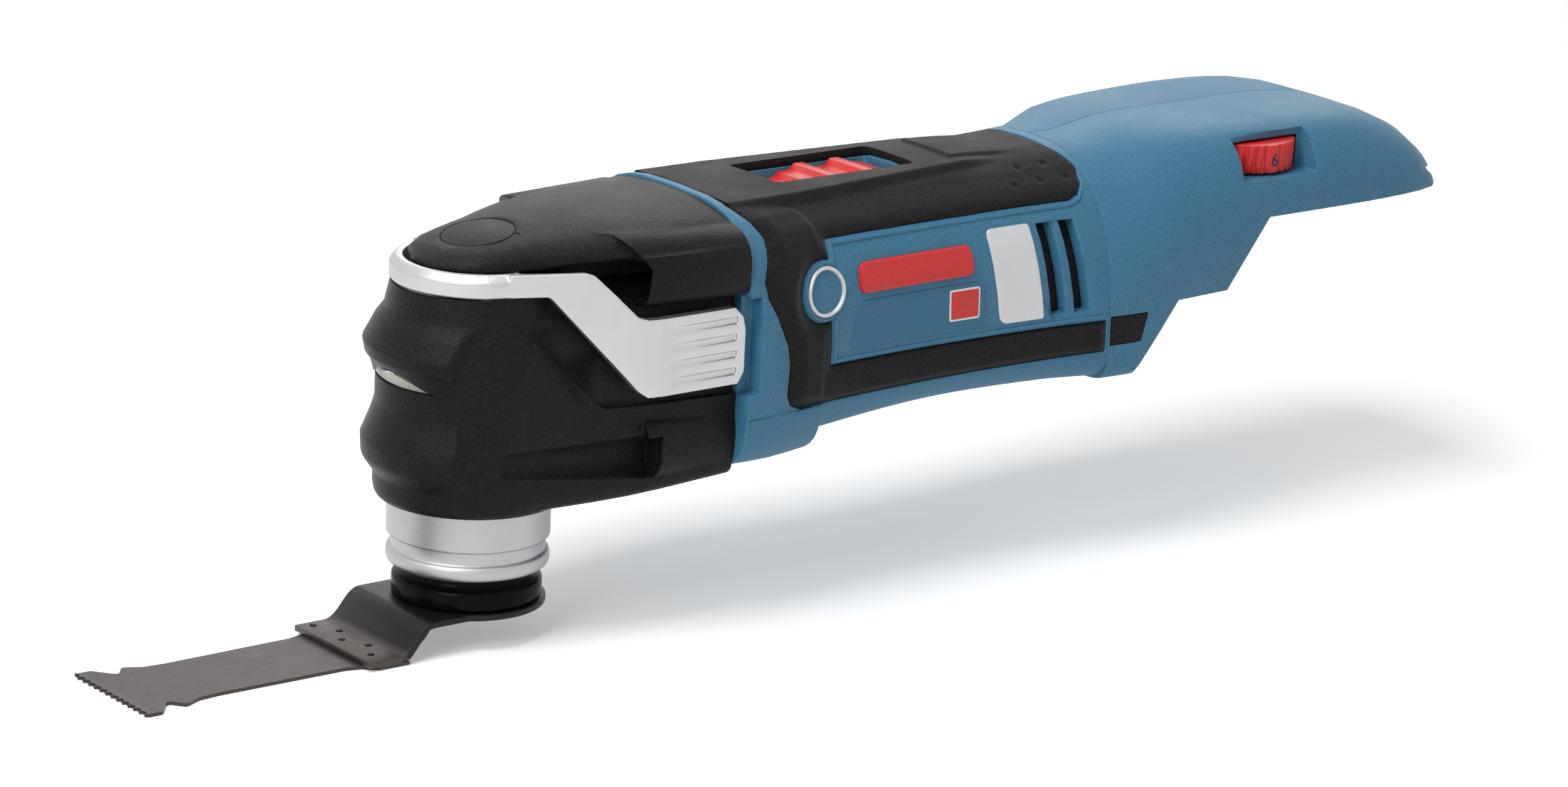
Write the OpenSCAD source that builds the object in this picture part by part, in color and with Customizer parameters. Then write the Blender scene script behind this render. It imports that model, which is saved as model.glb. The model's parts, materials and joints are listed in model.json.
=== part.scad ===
// Cordless oscillating multi tool with a cranked saw blade in its holder.
// X runs along the tool from the blade (-X) to the foot (+X), Z is up.
// The origin is on the spindle axis, at mid-height of the accessory collar.

/* [Head] */
// Radius of the accessory collar
collar_r = 19.8; // [18:0.1:21]
// Height of the collar's plain wall
collar_h = 8; // [7:0.5:9]
// Depth of the clip groove under the collar wall
groove_depth = 1.2; // [0.8:0.1:2]
// Height of the ring under the groove
ring_h = 4; // [3:0.5:5]
// Radius of the head's round front wall
head_r = 23.4; // [23:0.1:25]
// How far the front bulges stand proud of the wall
bulge_out = 3; // [2:0.1:4]
// Level of the head's rounded lower rim
head_low = 5.7; // [5.4:0.1:6.5]
// Level of the head's upper rim, under the lever's band
head_high = 58.8; // [58:0.1:60]
// Length of the head behind the spindle axis
head_len = 57; // [55:0.5:60]
// Half width of the head where it meets the motor housing
head_rear_w = 29.4; // [29:0.1:30]

/* [Clamp lever] */
// Level of the lever's axle
axle_z = 62; // [61.5:0.1:62.5]
// Radius of the lever's axle
axle_r = 1.8; // [1.6:0.1:2]
// Throw of the axle's clamping cam
cam_throw = 3.6; // [3.2:0.1:3.8]
// Inner radius of the lever's front band
band_r = 17.6; // [17.3:0.1:18]
// Thickness of the lever's band
band_t = 3.2; // [2.8:0.1:3.6]
// Height of the lever's band
band_h = 5.6; // [5:0.1:5.8]
// Thickness of the lever's arms and pads
arm_t = 2.8; // [2.4:0.1:3.2]
// Inner half width between the two finger pads
pad_w = 30.4; // [30.3:0.1:31]
// Number of finger grooves in a pad
groove_count = 4; // [3:1:5]

/* [Body] */
// Length of the grip, from the head to the rear seam
grip_len = 115; // [110:1:120]
// Length of the rear housing
rear_len = 122; // [118:1:126]
// Half width of the front band
front_w = 34.4; // [34:0.1:35]
// Half width at the waist of the grip
waist_w = 31; // [30.5:0.1:32]
// Half width at the rear seam
seam_w = 35; // [34:0.1:36]
// Half width of the foot
foot_w = 36.6; // [36:0.1:38]
// Level of the top of the grip
top_z = 75; // [74.6:0.1:76]
// Level of the top of the rear housing
rear_top_z = 78.2; // [77.8:0.1:79]
// Level of the foot's lower rim, over the battery
foot_z = 55; // [54.4:0.1:55.6]
// Thickness of the soft grip sleeve
sleeve_t = 1.8; // [1.4:0.1:2.2]

/* [Motor] */
// Level of the motor axis
motor_z = 42; // [41.8:0.1:42.4]
// Radius of the stator
stator_r = 22; // [21:0.1:22.4]
// Length of the stator stack
stator_len = 32; // [28:1:36]
// Radius of the rotor
rotor_r = 12; // [10:0.5:13]
// Radius of the motor shaft
shaft_r = 4; // [3.5:0.1:4.5]
// Throw of the shaft's eccentric
eccentric = 0.85; // [0.6:0.05:1]
// Radius of the bearing on the eccentric
follower_r = 7.5; // [7:0.1:8]

/* [Spindle and holder] */
// Radius of the output spindle
spindle_r = 7.5; // [7:0.1:8]
// Radius of the black tool holder
holder_r = 18.2; // [17:0.1:18.6]
// Height of the tool holder
holder_h = 7.4; // [7:0.1:8]
// Radius of the clamping rod
rod_r = 3.5; // [3:0.1:3.8]
// Radius of the clamping spring's wire
wire_r = 0.55; // [0.45:0.05:0.6]

/* [Blade] */
// Width of the toothed edge
blade_w = 32; // [28:0.5:36]
// Distance from the spindle axis to the teeth
blade_reach = 99.8; // [90:0.5:110]
// Thickness of the blade
blade_t = 0.9; // [0.6:0.1:1.2]
// Thickness of the cranked shank
shank_t = 1.5; // [1.2:0.1:2]
// Drop of the shank's crank
crank_drop = 7; // [6:0.5:9]
// Number of saw teeth
tooth_count = 24; // [16:1:30]

/* [Switch and dial] */
// Length of the switch window
window_len = 42; // [40:1:44]
// Half width of the switch window
window_w = 9; // [8:0.1:10]
// Travel of the slider, forward to switch on
switch_travel = 8; // [6:0.5:9]
// Radius of the speed dial
dial_r = 13; // [12:0.1:13.4]
// Height of the speed dial
dial_h = 7.4; // [6.5:0.1:8]

/* [Clearances] */
// Gap between pieces that are fixed together
fit_gap = 0.15; // [0.1:0.01:0.2]
// Radial clearance of a running fit
run_gap = 0.05; // [0.02:0.01:0.08]
// Gap between pieces that move past each other
move_gap = 0.5; // [0.4:0.05:0.6]

/* [Hidden] */
$fn = 64;
ring_n = 40;
cut = 1;

// Levels on the spindle axis
collar_low = -collar_h / 2;
neck_h = 3;
ring_top = collar_low - neck_h;
ring_low = ring_top - ring_h;
holder_top = ring_low - move_gap;
holder_low = holder_top - holder_h;
case_r = collar_r + 0.2;
case_top = head_high - 2.6;
plate_top = holder_low - fit_gap;
shank_low = plate_top - crank_drop;

// Stations along the body
seam_x = head_len + grip_len;
rear_x = seam_x + rear_len;
band_x = head_len + 9;
skirt_x = head_len + 25;
seam_low = 17.2;

// Spindle bearings
lower_bearing_r = 15;
lower_bearing_h = 7;
lower_bearing_z = collar_low + 2;
case_floor = lower_bearing_z + lower_bearing_h;
upper_bearing_r = 12;
upper_bearing_h = 6;
upper_bearing_z = case_top - 2.4 - upper_bearing_h;
spindle_neck_r = spindle_r - 1.5;

// Motor stations along X
follower_x = 24;
follower_len = 6;
flange_x = head_len - 3;
spigot_x = head_len + 6;
front_bearing_r = 11;
fan_x = spigot_x + 11;
fan_len = 10;
stator_x = fan_x + 23;
stator_end = stator_x + stator_len;
rear_bearing_x = stator_end + 12;
rear_bearing_r = 9.5;
rear_bearing_len = 6;
shaft_end = rear_bearing_x + rear_bearing_len + 1.5;
bore_r = stator_r + fit_gap;
fork_clear = 9.4;
tine_t = 3.1;
tine_h = 6.4;
tube_bore = 14.7;
tube_r = 17.2;

// A closed ring across the body, or a part of it: rounded box with its widest level at z_mid
function ring(half_w, z_low, z_mid, z_top, p_top, p_low, first = 0, last = ring_n - 1) = [
    for (i = [first:last])
    let (
        a = 360 * i / ring_n,
        p = sin(a) >= 0 ? p_top : p_low,
        h = sin(a) >= 0 ? z_top - z_mid : z_mid - z_low
    )
    [half_w * sign(cos(a)) * pow(abs(cos(a)), 2 / p),
     z_mid + h * sign(sin(a)) * pow(abs(sin(a)), 2 / p)]
];

// Smooth curve through the rows of a table: column c at station x
function row_at(t, x, i = 0) = i >= len(t) - 2 || x < t[i + 1][0] ? i : row_at(t, x, i + 1);
function rise(t, i, c) =
    let (a = max(i - 1, 0), b = min(i + 1, len(t) - 1))
    (t[b][c] - t[a][c]) / (t[b][0] - t[a][0]);
function curve(t, x, c) =
    let (
        i = row_at(t, x),
        h = t[i + 1][0] - t[i][0],
        u = (x - t[i][0]) / h,
        blend = u * u * (3 - 2 * u)
    )
    t[i][c] * (1 - blend) + t[i + 1][c] * blend
    + h * u * (1 - u) * (rise(t, i, c) * (1 - u) - rise(t, i + 1, c) * u);

// Solid through rings of points, one ring at each station along X
module loft(stations) {
    n = len(stations[0][1]);
    last = len(stations) - 1;
    points = [for (s = stations, p = s[1]) [s[0], p[0], p[1]]];
    sides = [
        for (k = [0:last - 1], i = [0:n - 1])
        let (j = (i + 1) % n, a = k * n, b = a + n)
        each [[a + i, b + i, b + j], [a + i, b + j, a + j]]
    ];
    first_cap = [for (i = [0:n - 1]) i];
    last_cap = [for (i = [n - 1:-1:0]) last * n + i];
    polyhedron(points, concat(sides, [first_cap, last_cap]));
}

// Loft of a table of rows [x, half width, low, widest, top, upper rounding], inset all round
module table_loft(t, steps, p_low, inset = 0, first = 0, last = ring_n - 1) {
    x0 = t[0][0];
    x1 = t[len(t) - 1][0];
    loft([
        for (k = [0:steps])
        let (x = x0 + (x1 - x0) * k / steps)
        [x, ring(curve(t, x, 1) - inset, curve(t, x, 2) + inset, curve(t, x, 3),
                 curve(t, x, 4) - inset, curve(t, x, 5), p_low, first, last)]
    ]);
}

// Outline of the side view, cut through the whole width
module side_prism(outline, half_w = 60) {
    translate([0, half_w, 0])
    rotate([90, 0, 0])
    linear_extrude(2 * half_w)
    polygon(outline);
}

module x_rod(r, x0, x1, y = 0, z = motor_z) {
    translate([x0, y, z])
    rotate([0, 90, 0])
    cylinder(r = r, h = x1 - x0);
}

module z_rod(r, z0, z1, x = 0, y = 0) {
    translate([x, y, z0])
    cylinder(r = r, h = z1 - z0);
}

module z_ring(r_in, r_out, z0, z1) {
    difference() {
        z_rod(r_out, z0, z1);
        z_rod(r_in, z0 - cut, z1 + cut);
    }
}

module x_ring(r_in, r_out, x0, x1) {
    difference() {
        x_rod(r_out, x0, x1);
        x_rod(r_in, x0 - cut, x1 + cut);
    }
}

module box(x0, x1, y0, y1, z0, z1) {
    translate([x0, y0, z0])
    cube([x1 - x0, y1 - y0, z1 - z0]);
}

module both_sides() {
    children();
    mirror([0, 1, 0])
    children();
}

// Revolved sector round the spindle axis, centred on the front
module front_sector(profile, half_angle) {
    rotate([0, 0, 180 - half_angle])
    rotate_extrude(angle = 2 * half_angle)
    polygon(profile);
}

// Sealed ball bearing with a sunken shield at each end
module bearing(r_in, r_out, h) {
    wall = (r_out - r_in) * 0.28;
    shield = h * 0.1;
    difference() {
        z_ring(r_in, r_out, 0, h);
        z_ring(r_in + wall, r_out - wall, -cut, shield);
        z_ring(r_in + wall, r_out - wall, h - shield, h + cut);
    }
}

// Head
led_z0 = 35.8;
led_z1 = 39.6;
led_angle = 36;
lens_t = 1.8;
head_table = [
    [0, head_r, head_low, 32, head_high, 5],
    [head_len / 2, (head_r + head_rear_w) / 2 + 0.3, head_low + 0.6, 32, head_high + 0.6, 5.4],
    [head_len, head_rear_w, head_low + 3, 32, head_high + 1.2, 6]
];
wall_profile = [
    [case_r + fit_gap, head_low], [head_r - 1.1, head_low], [head_r - 0.3, head_low + 1.2],
    [head_r, head_low + 3], [head_r, 44], [head_r - 0.6, 48], [head_r - 3, head_high],
    [case_r + fit_gap, head_high]
];
upper_bulge = [
    [head_r - 2, led_z1 - 0.4], [head_r + 1.4, led_z1 + 0.2], [head_r + bulge_out - 0.5, 41],
    [head_r + bulge_out, 43], [head_r + bulge_out - 0.2, 45], [head_r + 0.6, 49.4], [head_r - 2, 53]
];
lower_bulge = [
    [head_r - 2, 32], [head_r - 0.1, 30], [head_r + 0.4, 28], [head_r + 1.4, 25],
    [head_r + bulge_out - 0.3, 21.8], [head_r + bulge_out, 20], [head_r + bulge_out, 16.4],
    [head_r + bulge_out - 0.5, 15.2], [head_r - 0.4, 11.2], [head_r - 2, 11]
];
bulge_angle = 64;
flare = atan((head_rear_w - head_r) / head_len);
recess_depth = 1.5;
lobe_x = 31;
lobe_w = pad_w - 0.4;
lobe_z0 = 11.4;
lobe_z1 = 27;

// Air outlet lobe at the rear of the head, with an open mouth at its front
module outlet_lobe() {
    core_y = 20;
    difference() {
        translate([lobe_x, core_y, 0])
        rotate([90, 0, 90])
        linear_extrude(head_len - lobe_x)
        polygon(ring(lobe_w - core_y, lobe_z0 - 1, 19, lobe_z1, 3.4, 3));
        box(lobe_x - cut, lobe_x + 9, head_r + 0.4, lobe_w - 1.6, lobe_z0 + 2.6, lobe_z1 - 4.6);
    }
}

// Scoop in the side wall that leads the air forward from a lobe
module scoop() {
    scoop_r = 3.6;
    mouth_r = 5.6;
    scoop_z = 17.6;
    tilt = 2.6;
    translate([lobe_x + 4, head_r + 4.8, scoop_z - 0.6])
    rotate([0, tilt, flare - 0.6])
    rotate([0, -90, 0]) {
        cylinder(r1 = mouth_r, r2 = scoop_r, h = 40);
        translate([0, 0, 40])
        sphere(r = scoop_r);
    }
}

// Slanted facet that ends a bulge at that angle from the front
module bulge_end(angle, z, lean) {
    rotate([0, 0, 90 - angle])
    translate([0, head_r - 0.3, z])
    rotate([0, lean, 0])
    rotate([0, 0, 45])
    box(0, 30, -30, 30, -25, 25);
}

// Solid of the head's wall, drawn in by a depth
module head_wall(depth) {
    rotate_extrude()
    polygon(concat(
        [[0, head_low]],
        [for (i = [1:5]) wall_profile[i] - [depth, 0]],
        [wall_profile[6], [wall_profile[6][0], head_high + 6], [0, head_high + 6]]
    ));
    table_loft([for (row = head_table) row + [0, 0, 0, 0, depth, 0]], 6, 14, depth);
}

// Shallow recess behind a lever arm, as deep all along the wall
module arm_recess() {
    difference() {
        translate([0, 30, 0])
        side_prism([[-14, head_high + 4], [18.5, 31.4], [21, 30], [80, 30], [80, head_high + 4]], 20);
        head_wall(recess_depth);
    }
}

module head_housing() {
    color("#1d1d1e")
    difference() {
        union() {
            rotate_extrude() polygon(wall_profile);
            difference() {
                front_sector(upper_bulge, bulge_angle);
                both_sides() bulge_end(bulge_angle - 14, 47.9, 14);
            }
            difference() {
                front_sector(lower_bulge, bulge_angle);
                both_sides() bulge_end(bulge_angle - 10, 19.5, -14);
            }
            table_loft(head_table, 6, 14);
            both_sides() outlet_lobe();
            z_ring(band_r - 4, band_r - 1, head_high - 2, hood_low - 1);
        }
        axle_bore(move_gap);
        z_rod(case_r + fit_gap, head_low - cut, head_high + 5);
        x_rod(tube_r + fit_gap, 0, head_len + cut);
        x_rod(stator_r + fit_gap, flange_x - fit_gap, head_len + cut);
        screw_places(flange_x - 3, head_len + cut, lug_r + fit_gap);
        box(0, head_len + cut, -tube_r - fit_gap, tube_r + fit_gap, motor_z, head_high + 5);
        front_sector([[case_r - cut, led_z0], [head_r + 5, led_z0], [head_r + 5, led_z1],
                      [case_r - cut, led_z1]], led_angle);
        both_sides() scoop();
        both_sides() arm_recess();
    }
}

// Hood over the head
hood_nose = band_r - move_gap - 0.5;
hood_low = head_high + 5.8;
hood_rear_w = hood_nose + 11.8;
ear_x = 28;
ear_low = axle_z - 7.4;
ear_core = 20.6;
ear_flare = 5;
wall_w = 17.4;
hood_table = [
    [-hood_nose, 3.2, hood_low - 0.4, hood_low, hood_low + 0.9, 2.4],
    [-hood_nose * 0.94, hood_nose * 0.36, hood_low - 0.5, hood_low, hood_low + 2, 2.4],
    [-hood_nose * 0.8, hood_nose * 0.61, hood_low - 0.6, hood_low, hood_low + 3, 2.5],
    [-hood_nose * 0.5, hood_nose * 0.86, hood_low - 0.6, hood_low, hood_low + 4.3, 2.7],
    [0, hood_nose, hood_low - 0.6, hood_low, hood_low + 5.9, 2.8],
    [7, hood_nose + 2.4, hood_low - 0.2, hood_low + 0.4, top_z - 3.4, 2.5],
    [14, hood_nose + 5.2, hood_low + 0.8, hood_low + 1.4, top_z - 2.4, 2.3],
    [ear_x, hood_nose + 9.4, hood_low + 1.4, hood_low + 2, top_z - 1, 2.2],
    [head_len, hood_rear_w, hood_low + 1.4, hood_low + 2, top_z - 0.2, 2.3]
];

module head_cover() {
    color("#1d1d1e")
    difference() {
        union() {
            table_loft(hood_table, 16, 4);
            both_sides() ear();
            box(12, head_len, -wall_w, wall_w, head_high + 1.4, hood_low + 3.4);
        }
        hood_hollow();
        both_sides() ear_mouth();
        axis_cap_seat();
    }
}

// Rounded air duct beside the hood, with a slanted front lip
module ear() {
    intersection() {
        translate([head_len, ear_core, 0])
        rotate([0, 0, ear_flare])
        translate([-50, 0, 0])
        rotate([90, 0, 90])
        linear_extrude(60)
        polygon(ring(front_w - 1 - ear_core, ear_low, 61.6, 71.6, 2.6, 5));
        side_prism([
            [ear_x - 6, 75], [ear_x - 4.6, 72], [ear_x - 0.6, 67], [ear_x + 1.4, 64],
            [ear_x + 1, 60], [ear_x - 0.4, ear_low - cut], [head_len, ear_low - cut], [head_len, 75]
        ]);
    }
}

// Space under the hood for the axle, the gear case lugs and the tube
module hood_hollow() {
    box(-6, head_len + cut, -11, 11, ear_low - 5, hood_low + 2.6);
    box(ear_x - 8, head_len + cut, -head_rear_w - 0.2, head_rear_w + 0.2, ear_low - 5, head_high + 1.4);
    x_rod(stator_r + fit_gap, flange_x - fit_gap, head_len + cut);
    screw_places(flange_x - 3, head_len + cut, lug_r + fit_gap);
    axle_bore(move_gap);
    translate([0, -lug_in, axle_z])
    rotate([-90, 0, 0])
    cam_disc(move_gap, 2 * lug_in);
}

// Clearance hole along the lever's axle
module axle_bore(gap) {
    translate([0, -30, axle_z])
    rotate([-90, 0, 0])
    cylinder(r = axle_r + gap, h = 60);
}

// Open air mouth at the front of an ear
module ear_mouth() {
    box(ear_x - 8, ear_x + 15, wall_w + 1.2, front_w - 4.4, ear_low + 2, hood_low + 1.4);
}

cap_r = 9;
cap_t = 1;
cap_z = hood_low + 5.6;
cap_tilt = 10;

module axis_cap_seat() {
    translate([0, 0, cap_z])
    rotate([0, -cap_tilt, 0])
    translate([0, 0, -cap_t])
    cylinder(r = cap_r + run_gap, h = 8);
}

module axis_cap() {
    color("#222223")
    translate([0, 0, cap_z])
    rotate([0, -cap_tilt, 0])
    translate([0, 0, -cap_t])
    cylinder(r = cap_r, h = cap_t);
}

// Clamp lever
pad_x0 = 26;
pad_x1 = head_len - 0.8;
pad_z0 = axle_z - 28.4;
pad_z1 = axle_z - 9.2;
band_low = axle_z - band_h / 2;
band_high = axle_z + band_h / 2;
arm_outline = [
    [-8, band_high], [13, band_high], [14.6, band_high - 0.6], [pad_x0 - 1, pad_z1 + 0.8],
    [pad_x0 + 1.6, pad_z1], [pad_x1 - 3.4, pad_z1], [pad_x1 - 0.8, pad_z1 - 2.6], [pad_x1, pad_z1 - 6],
    [pad_x1, pad_z0 + 3], [pad_x1 - 1.8, pad_z0], [pad_x0 + 2, pad_z0], [pad_x0 - 0.6, pad_z0 + 1.8],
    [4.6, band_low], [-8, band_low]
];
arm_inner = [
    [-4.5, band_r], [4, 21.7], [9, 23.7], [14, 25.4], [18, pad_w - 3.5], [22, pad_w - 2], [26, pad_w - 0.9],
    [30, pad_w - 0.2], [34, pad_w], [pad_x1, pad_w]
];
arm_outer = [
    [pad_x1, pad_w + arm_t], [34, pad_w + arm_t], [30.4, pad_w + arm_t - 0.2], [26.6, pad_w + arm_t - 0.9],
    [22.6, pad_w + arm_t - 2], [18.6, pad_w + arm_t - 3.5], [14.6, 25.2 + arm_t],
    [-4.5, band_r + band_t - 0.4]
];
groove_pitch = 4.2;
groove_h = 1.8;
groove_fall = 2.4;

module lever_arm() {
    difference() {
        intersection() {
            side_prism(arm_outline);
            translate([0, 0, pad_z0 - cut])
            linear_extrude(band_high - pad_z0 + 2 * cut)
            polygon(concat(arm_inner, arm_outer));
        }
        for (k = [0:groove_count - 1])
            translate([0, 0, (pad_z0 + pad_z1) / 2 + (k - (groove_count - 1) / 2) * groove_pitch])
            translate([pad_x0 + 8, pad_w + arm_t - 0.3, -groove_h / 2])
            rotate([0, 0, -groove_fall])
            cube([pad_x1 - pad_x0 - 10.4, 2 * arm_t, groove_h]);
    }
}

module clamp_lever() {
    color("#c4c6c8")
    difference() {
        lever_form();
        translate([0, -axle_half - fit_gap, axle_z])
        rotate([-90, 0, 0])
        cylinder(r = axle_r + run_gap, h = 2 * (axle_half + fit_gap));
    }
}

module lever_form() {
    union() {
        front_sector([
            [band_r, band_low + 0.4], [band_r + band_t - 0.4, band_low], [band_r + band_t, band_low + 0.5],
            [band_r + band_t, band_high - 1.8], [band_r + band_t - 1.4, band_high], [band_r, band_high]
        ], 88);
        both_sides() lever_arm();
    }
}

axle_half = band_r + band_t - 0.2;
cam_r = axle_r + 2.2;
cam_phase = 52.5;
lever_open = 75;
cam_floor = axle_z + cam_throw * cos(cam_phase + lever_open) - cam_r - move_gap;
lug_in = 6;
lug_out = 10.5;

module lever_axle() {
    color("#8d9094")
    translate([0, 0, axle_z])
    rotate([-90, 0, 0]) {
        translate([0, 0, -axle_half])
        cylinder(r = axle_r, h = 2 * axle_half);
        translate([0, 0, -lug_in + move_gap])
        cam_disc(0, 2 * (lug_in - move_gap));
    }
}

// Clamping cam on the axle, or the space round it
module cam_disc(gap, h) {
    translate([cam_throw * sin(cam_phase), -cam_throw * cos(cam_phase), 0])
    cylinder(r = cam_r + gap, h = h);
}

// Work light
module led_lens() {
    color("#dfe3e0")
    front_sector([
        [head_r - lens_t, led_z0 + fit_gap], [head_r - 0.2, led_z0 + fit_gap],
        [head_r + 1, led_z1 - fit_gap], [head_r - lens_t, led_z1 - fit_gap]
    ], led_angle - 0.4);
}

module led_board() {
    color("#e8e6da")
    front_sector([[case_r + 0.3, led_z0 + fit_gap], [case_r + 1.3, led_z0 + fit_gap],
                  [case_r + 1.3, led_z1 - fit_gap], [case_r + 0.3, led_z1 - fit_gap]], led_angle - 6);
}

// Gear case: revolved collar part, tube towards the motor and lugs for the lever's axle
case_cavity = 17.2;
case_profile = [
    [0, ring_low], [collar_r - 1.2, ring_low], [collar_r - 0.3, ring_low + 0.6], [collar_r, ring_low + 1.4],
    [collar_r, ring_top - 1.2], [collar_r - 0.4, ring_top - 0.3], [collar_r - groove_depth, ring_top],
    [collar_r - groove_depth, collar_low + 0.3], [collar_r - 0.3, collar_low + 0.3],
    [collar_r, collar_low + 0.6], [collar_r, head_low - fit_gap], [case_r, head_low - fit_gap],
    [case_r, case_top], [0, case_top]
];
screw_pcd_r = 26;
screw_r = 2;
lug_r = 4.4;

module gear_case() {
    color("#b9bcbe")
    difference() {
        union() {
            rotate_extrude() polygon(case_profile);
            x_rod(tube_r, 0, head_len);
            x_rod(stator_r, flange_x, spigot_x);
            screw_places(flange_x, head_len, lug_r);
            both_sides()
            box(-5, 5, lug_in, lug_out, case_top - cut, axle_z + axle_r + 2);
        }
        z_rod(case_cavity, case_floor, upper_bearing_z - 1.6);
        z_rod(lower_bearing_r + run_gap, lower_bearing_z, case_floor + cut);
        z_rod(upper_bearing_r + run_gap, upper_bearing_z - 2, upper_bearing_z + upper_bearing_h);
        z_rod(spindle_r + 2, ring_low - cut, lower_bearing_z + cut);
        z_rod(spindle_neck_r + 1.5, upper_bearing_z, case_top - cut);
        z_rod(rod_r + 1.2, case_top - 2 * cut, axle_z);
        box(-2.2, cam_throw + cam_r + move_gap, -lug_in, lug_in, cam_floor, axle_z);
        x_rod(tube_bore, 0, flange_x);
        x_rod(front_bearing_r - 2, flange_x - cut, head_len);
        x_rod(front_bearing_r + run_gap, head_len, spigot_x + cut);
        axle_bore(run_gap);
        screw_places(flange_x - cut, spigot_x + cut, screw_r + fit_gap);
    }
}

module screw_places(x0, x1, r) {
    for (a = [45:90:315])
        x_rod(r, x0, x1, screw_pcd_r * cos(a), motor_z + screw_pcd_r * sin(a));
}

module gear_case_screws() {
    color("#55585c")
    union() {
        screw_places(flange_x - 2.2, flange_x, screw_r + 1.4);
        screw_places(flange_x - fit_gap, spigot_x + 8, screw_r);
    }
}

// Spindle, bearings, fork and holder
module output_spindle() {
    color("#9a9da0")
    difference() {
        union() {
            z_rod(spindle_r, holder_low + dome_h + 0.6, upper_bearing_z - 1);
            z_rod(spindle_neck_r, upper_bearing_z - 1.2, upper_bearing_z + upper_bearing_h + 1);
            z_rod(spindle_r + 1.4, case_floor + 0.2, case_floor + 2.2);
        }
        z_rod(rod_r + run_gap, holder_low, 12);
        z_rod(spring_bore, spring_low, upper_bearing_z + upper_bearing_h + 2);
    }
}

module spindle_bearing_lower() {
    color("#a9adb1")
    translate([0, 0, lower_bearing_z])
    bearing(spindle_r + run_gap, lower_bearing_r, lower_bearing_h);
}

module spindle_bearing_upper() {
    color("#a9adb1")
    translate([0, 0, upper_bearing_z])
    bearing(spindle_neck_r + run_gap, upper_bearing_r, upper_bearing_h);
}

fork_hub_r = 12;

module drive_fork() {
    color("#7e8286")
    difference() {
        union() {
            z_rod(fork_hub_r, motor_z - tine_h / 2, motor_z + tine_h / 2);
            both_sides()
            box(0, follower_x + follower_len + 1, fork_clear, fork_clear + tine_t,
                motor_z - tine_h / 2, motor_z + tine_h / 2);
        }
        z_rod(spindle_r + run_gap / 2, motor_z - tine_h, motor_z + tine_h);
    }
}

module tool_holder() {
    color("#202021")
    difference() {
        rotate_extrude()
        polygon([
            [spindle_r + run_gap / 2, holder_top], [holder_r - 2.4, holder_top],
            [holder_r - 2, holder_top - 1.6], [holder_r - 1.4, holder_top - 2.2],
            [holder_r - 0.3, holder_top - 2.6], [holder_r, holder_top - 3.2],
            [holder_r, holder_low + 0.4], [holder_r - 0.4, holder_low], [spindle_r + run_gap / 2, holder_low]
        ]);
        translate([0, 0, holder_low - cut])
        cylinder(r1 = dome_r + 1.4, r2 = dome_r - 3 + 0.6, h = dome_h + 0.3 + cut);
    }
}

// Clamping rod, spring and jaws inside the spindle
dome_r = 13;
dome_h = 4;
hole_r = 6.4;
spring_low = 10;
spring_high = 36;
spring_bore = spindle_neck_r - 0.9;
spring_r = spring_bore - wire_r - 0.12;
spring_turns = 7;
rod_top = axle_z + cam_throw * cos(cam_phase) - cam_r - 0.3;
rod_low = holder_low + dome_h + 0.4;

module clamp_rod() {
    color("#84888c")
    union() {
        z_rod(rod_r, rod_low, spring_high + 4);
        z_rod(spring_bore - run_gap, spring_high, spring_high + 3);
        z_rod(rod_r, spring_high, rod_top);
    }
}

// Compression spring: one round wire wound from the lower seat to the rod's collar
module clamp_spring() {
    sides = 6;
    steps = spring_turns * 10;
    pitch = (spring_high - spring_low - 2 * wire_r - 0.2) / spring_turns;
    points = [
        for (k = [0:steps], i = [0:sides - 1])
        let (
            a = 360 * spring_turns * k / steps,
            b = 360 * i / sides,
            r = spring_r + wire_r * cos(b)
        )
        [r * cos(a), r * sin(a), spring_low + 0.1 + wire_r + pitch * a / 360 + wire_r * sin(b)]
    ];
    walls = [
        for (k = [0:steps - 1], i = [0:sides - 1])
        let (j = (i + 1) % sides, a = k * sides, b = a + sides)
        each [[a + i, a + j, b + j], [a + i, b + j, b + i]]
    ];
    start_cap = [for (i = [sides - 1:-1:0]) i];
    end_cap = [for (i = [0:sides - 1]) steps * sides + i];
    color("#6f7377")
    polyhedron(points, concat(walls, [start_cap, end_cap]));
}

jaw_w = 2.6;
jaw_reach = hole_r + 1.4;
jaw_t = 1.6;
jaw_low = plate_top + dome_h - shank_t - 0.45 - jaw_t;

module clamp_jaws() {
    color("#5f6367")
    both_sides()
    union() {
        box(-jaw_w, jaw_w, 1.2, rod_r - 0.2, jaw_low, rod_low);
        box(-jaw_w, jaw_w, 1.2, jaw_reach, jaw_low, jaw_low + jaw_t);
    }
}

// Blade
shank_w = blade_w + 0.4;
shank_front = 38.5;
weld_len = 10.5;
bend_x = 22;

module dome(grow, h) {
    cylinder(r1 = dome_r + grow, r2 = dome_r - 3 + grow, h = h, $fn = 12);
}

// Side view of the cranked shank, drawn along its top face and back along its underside
shank_outline = [
    [-shank_front, shank_low], [-shank_front + weld_len, shank_low], [-bend_x - 0.8, plate_top - 0.5],
    [-bend_x, plate_top], [holder_r + 2, plate_top], [holder_r + 2, plate_top - shank_t],
    [-bend_x + 0.4, plate_top - shank_t], [-shank_front + weld_len + 0.8, shank_low - shank_t],
    [-shank_front, shank_low - shank_t]
];

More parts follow.
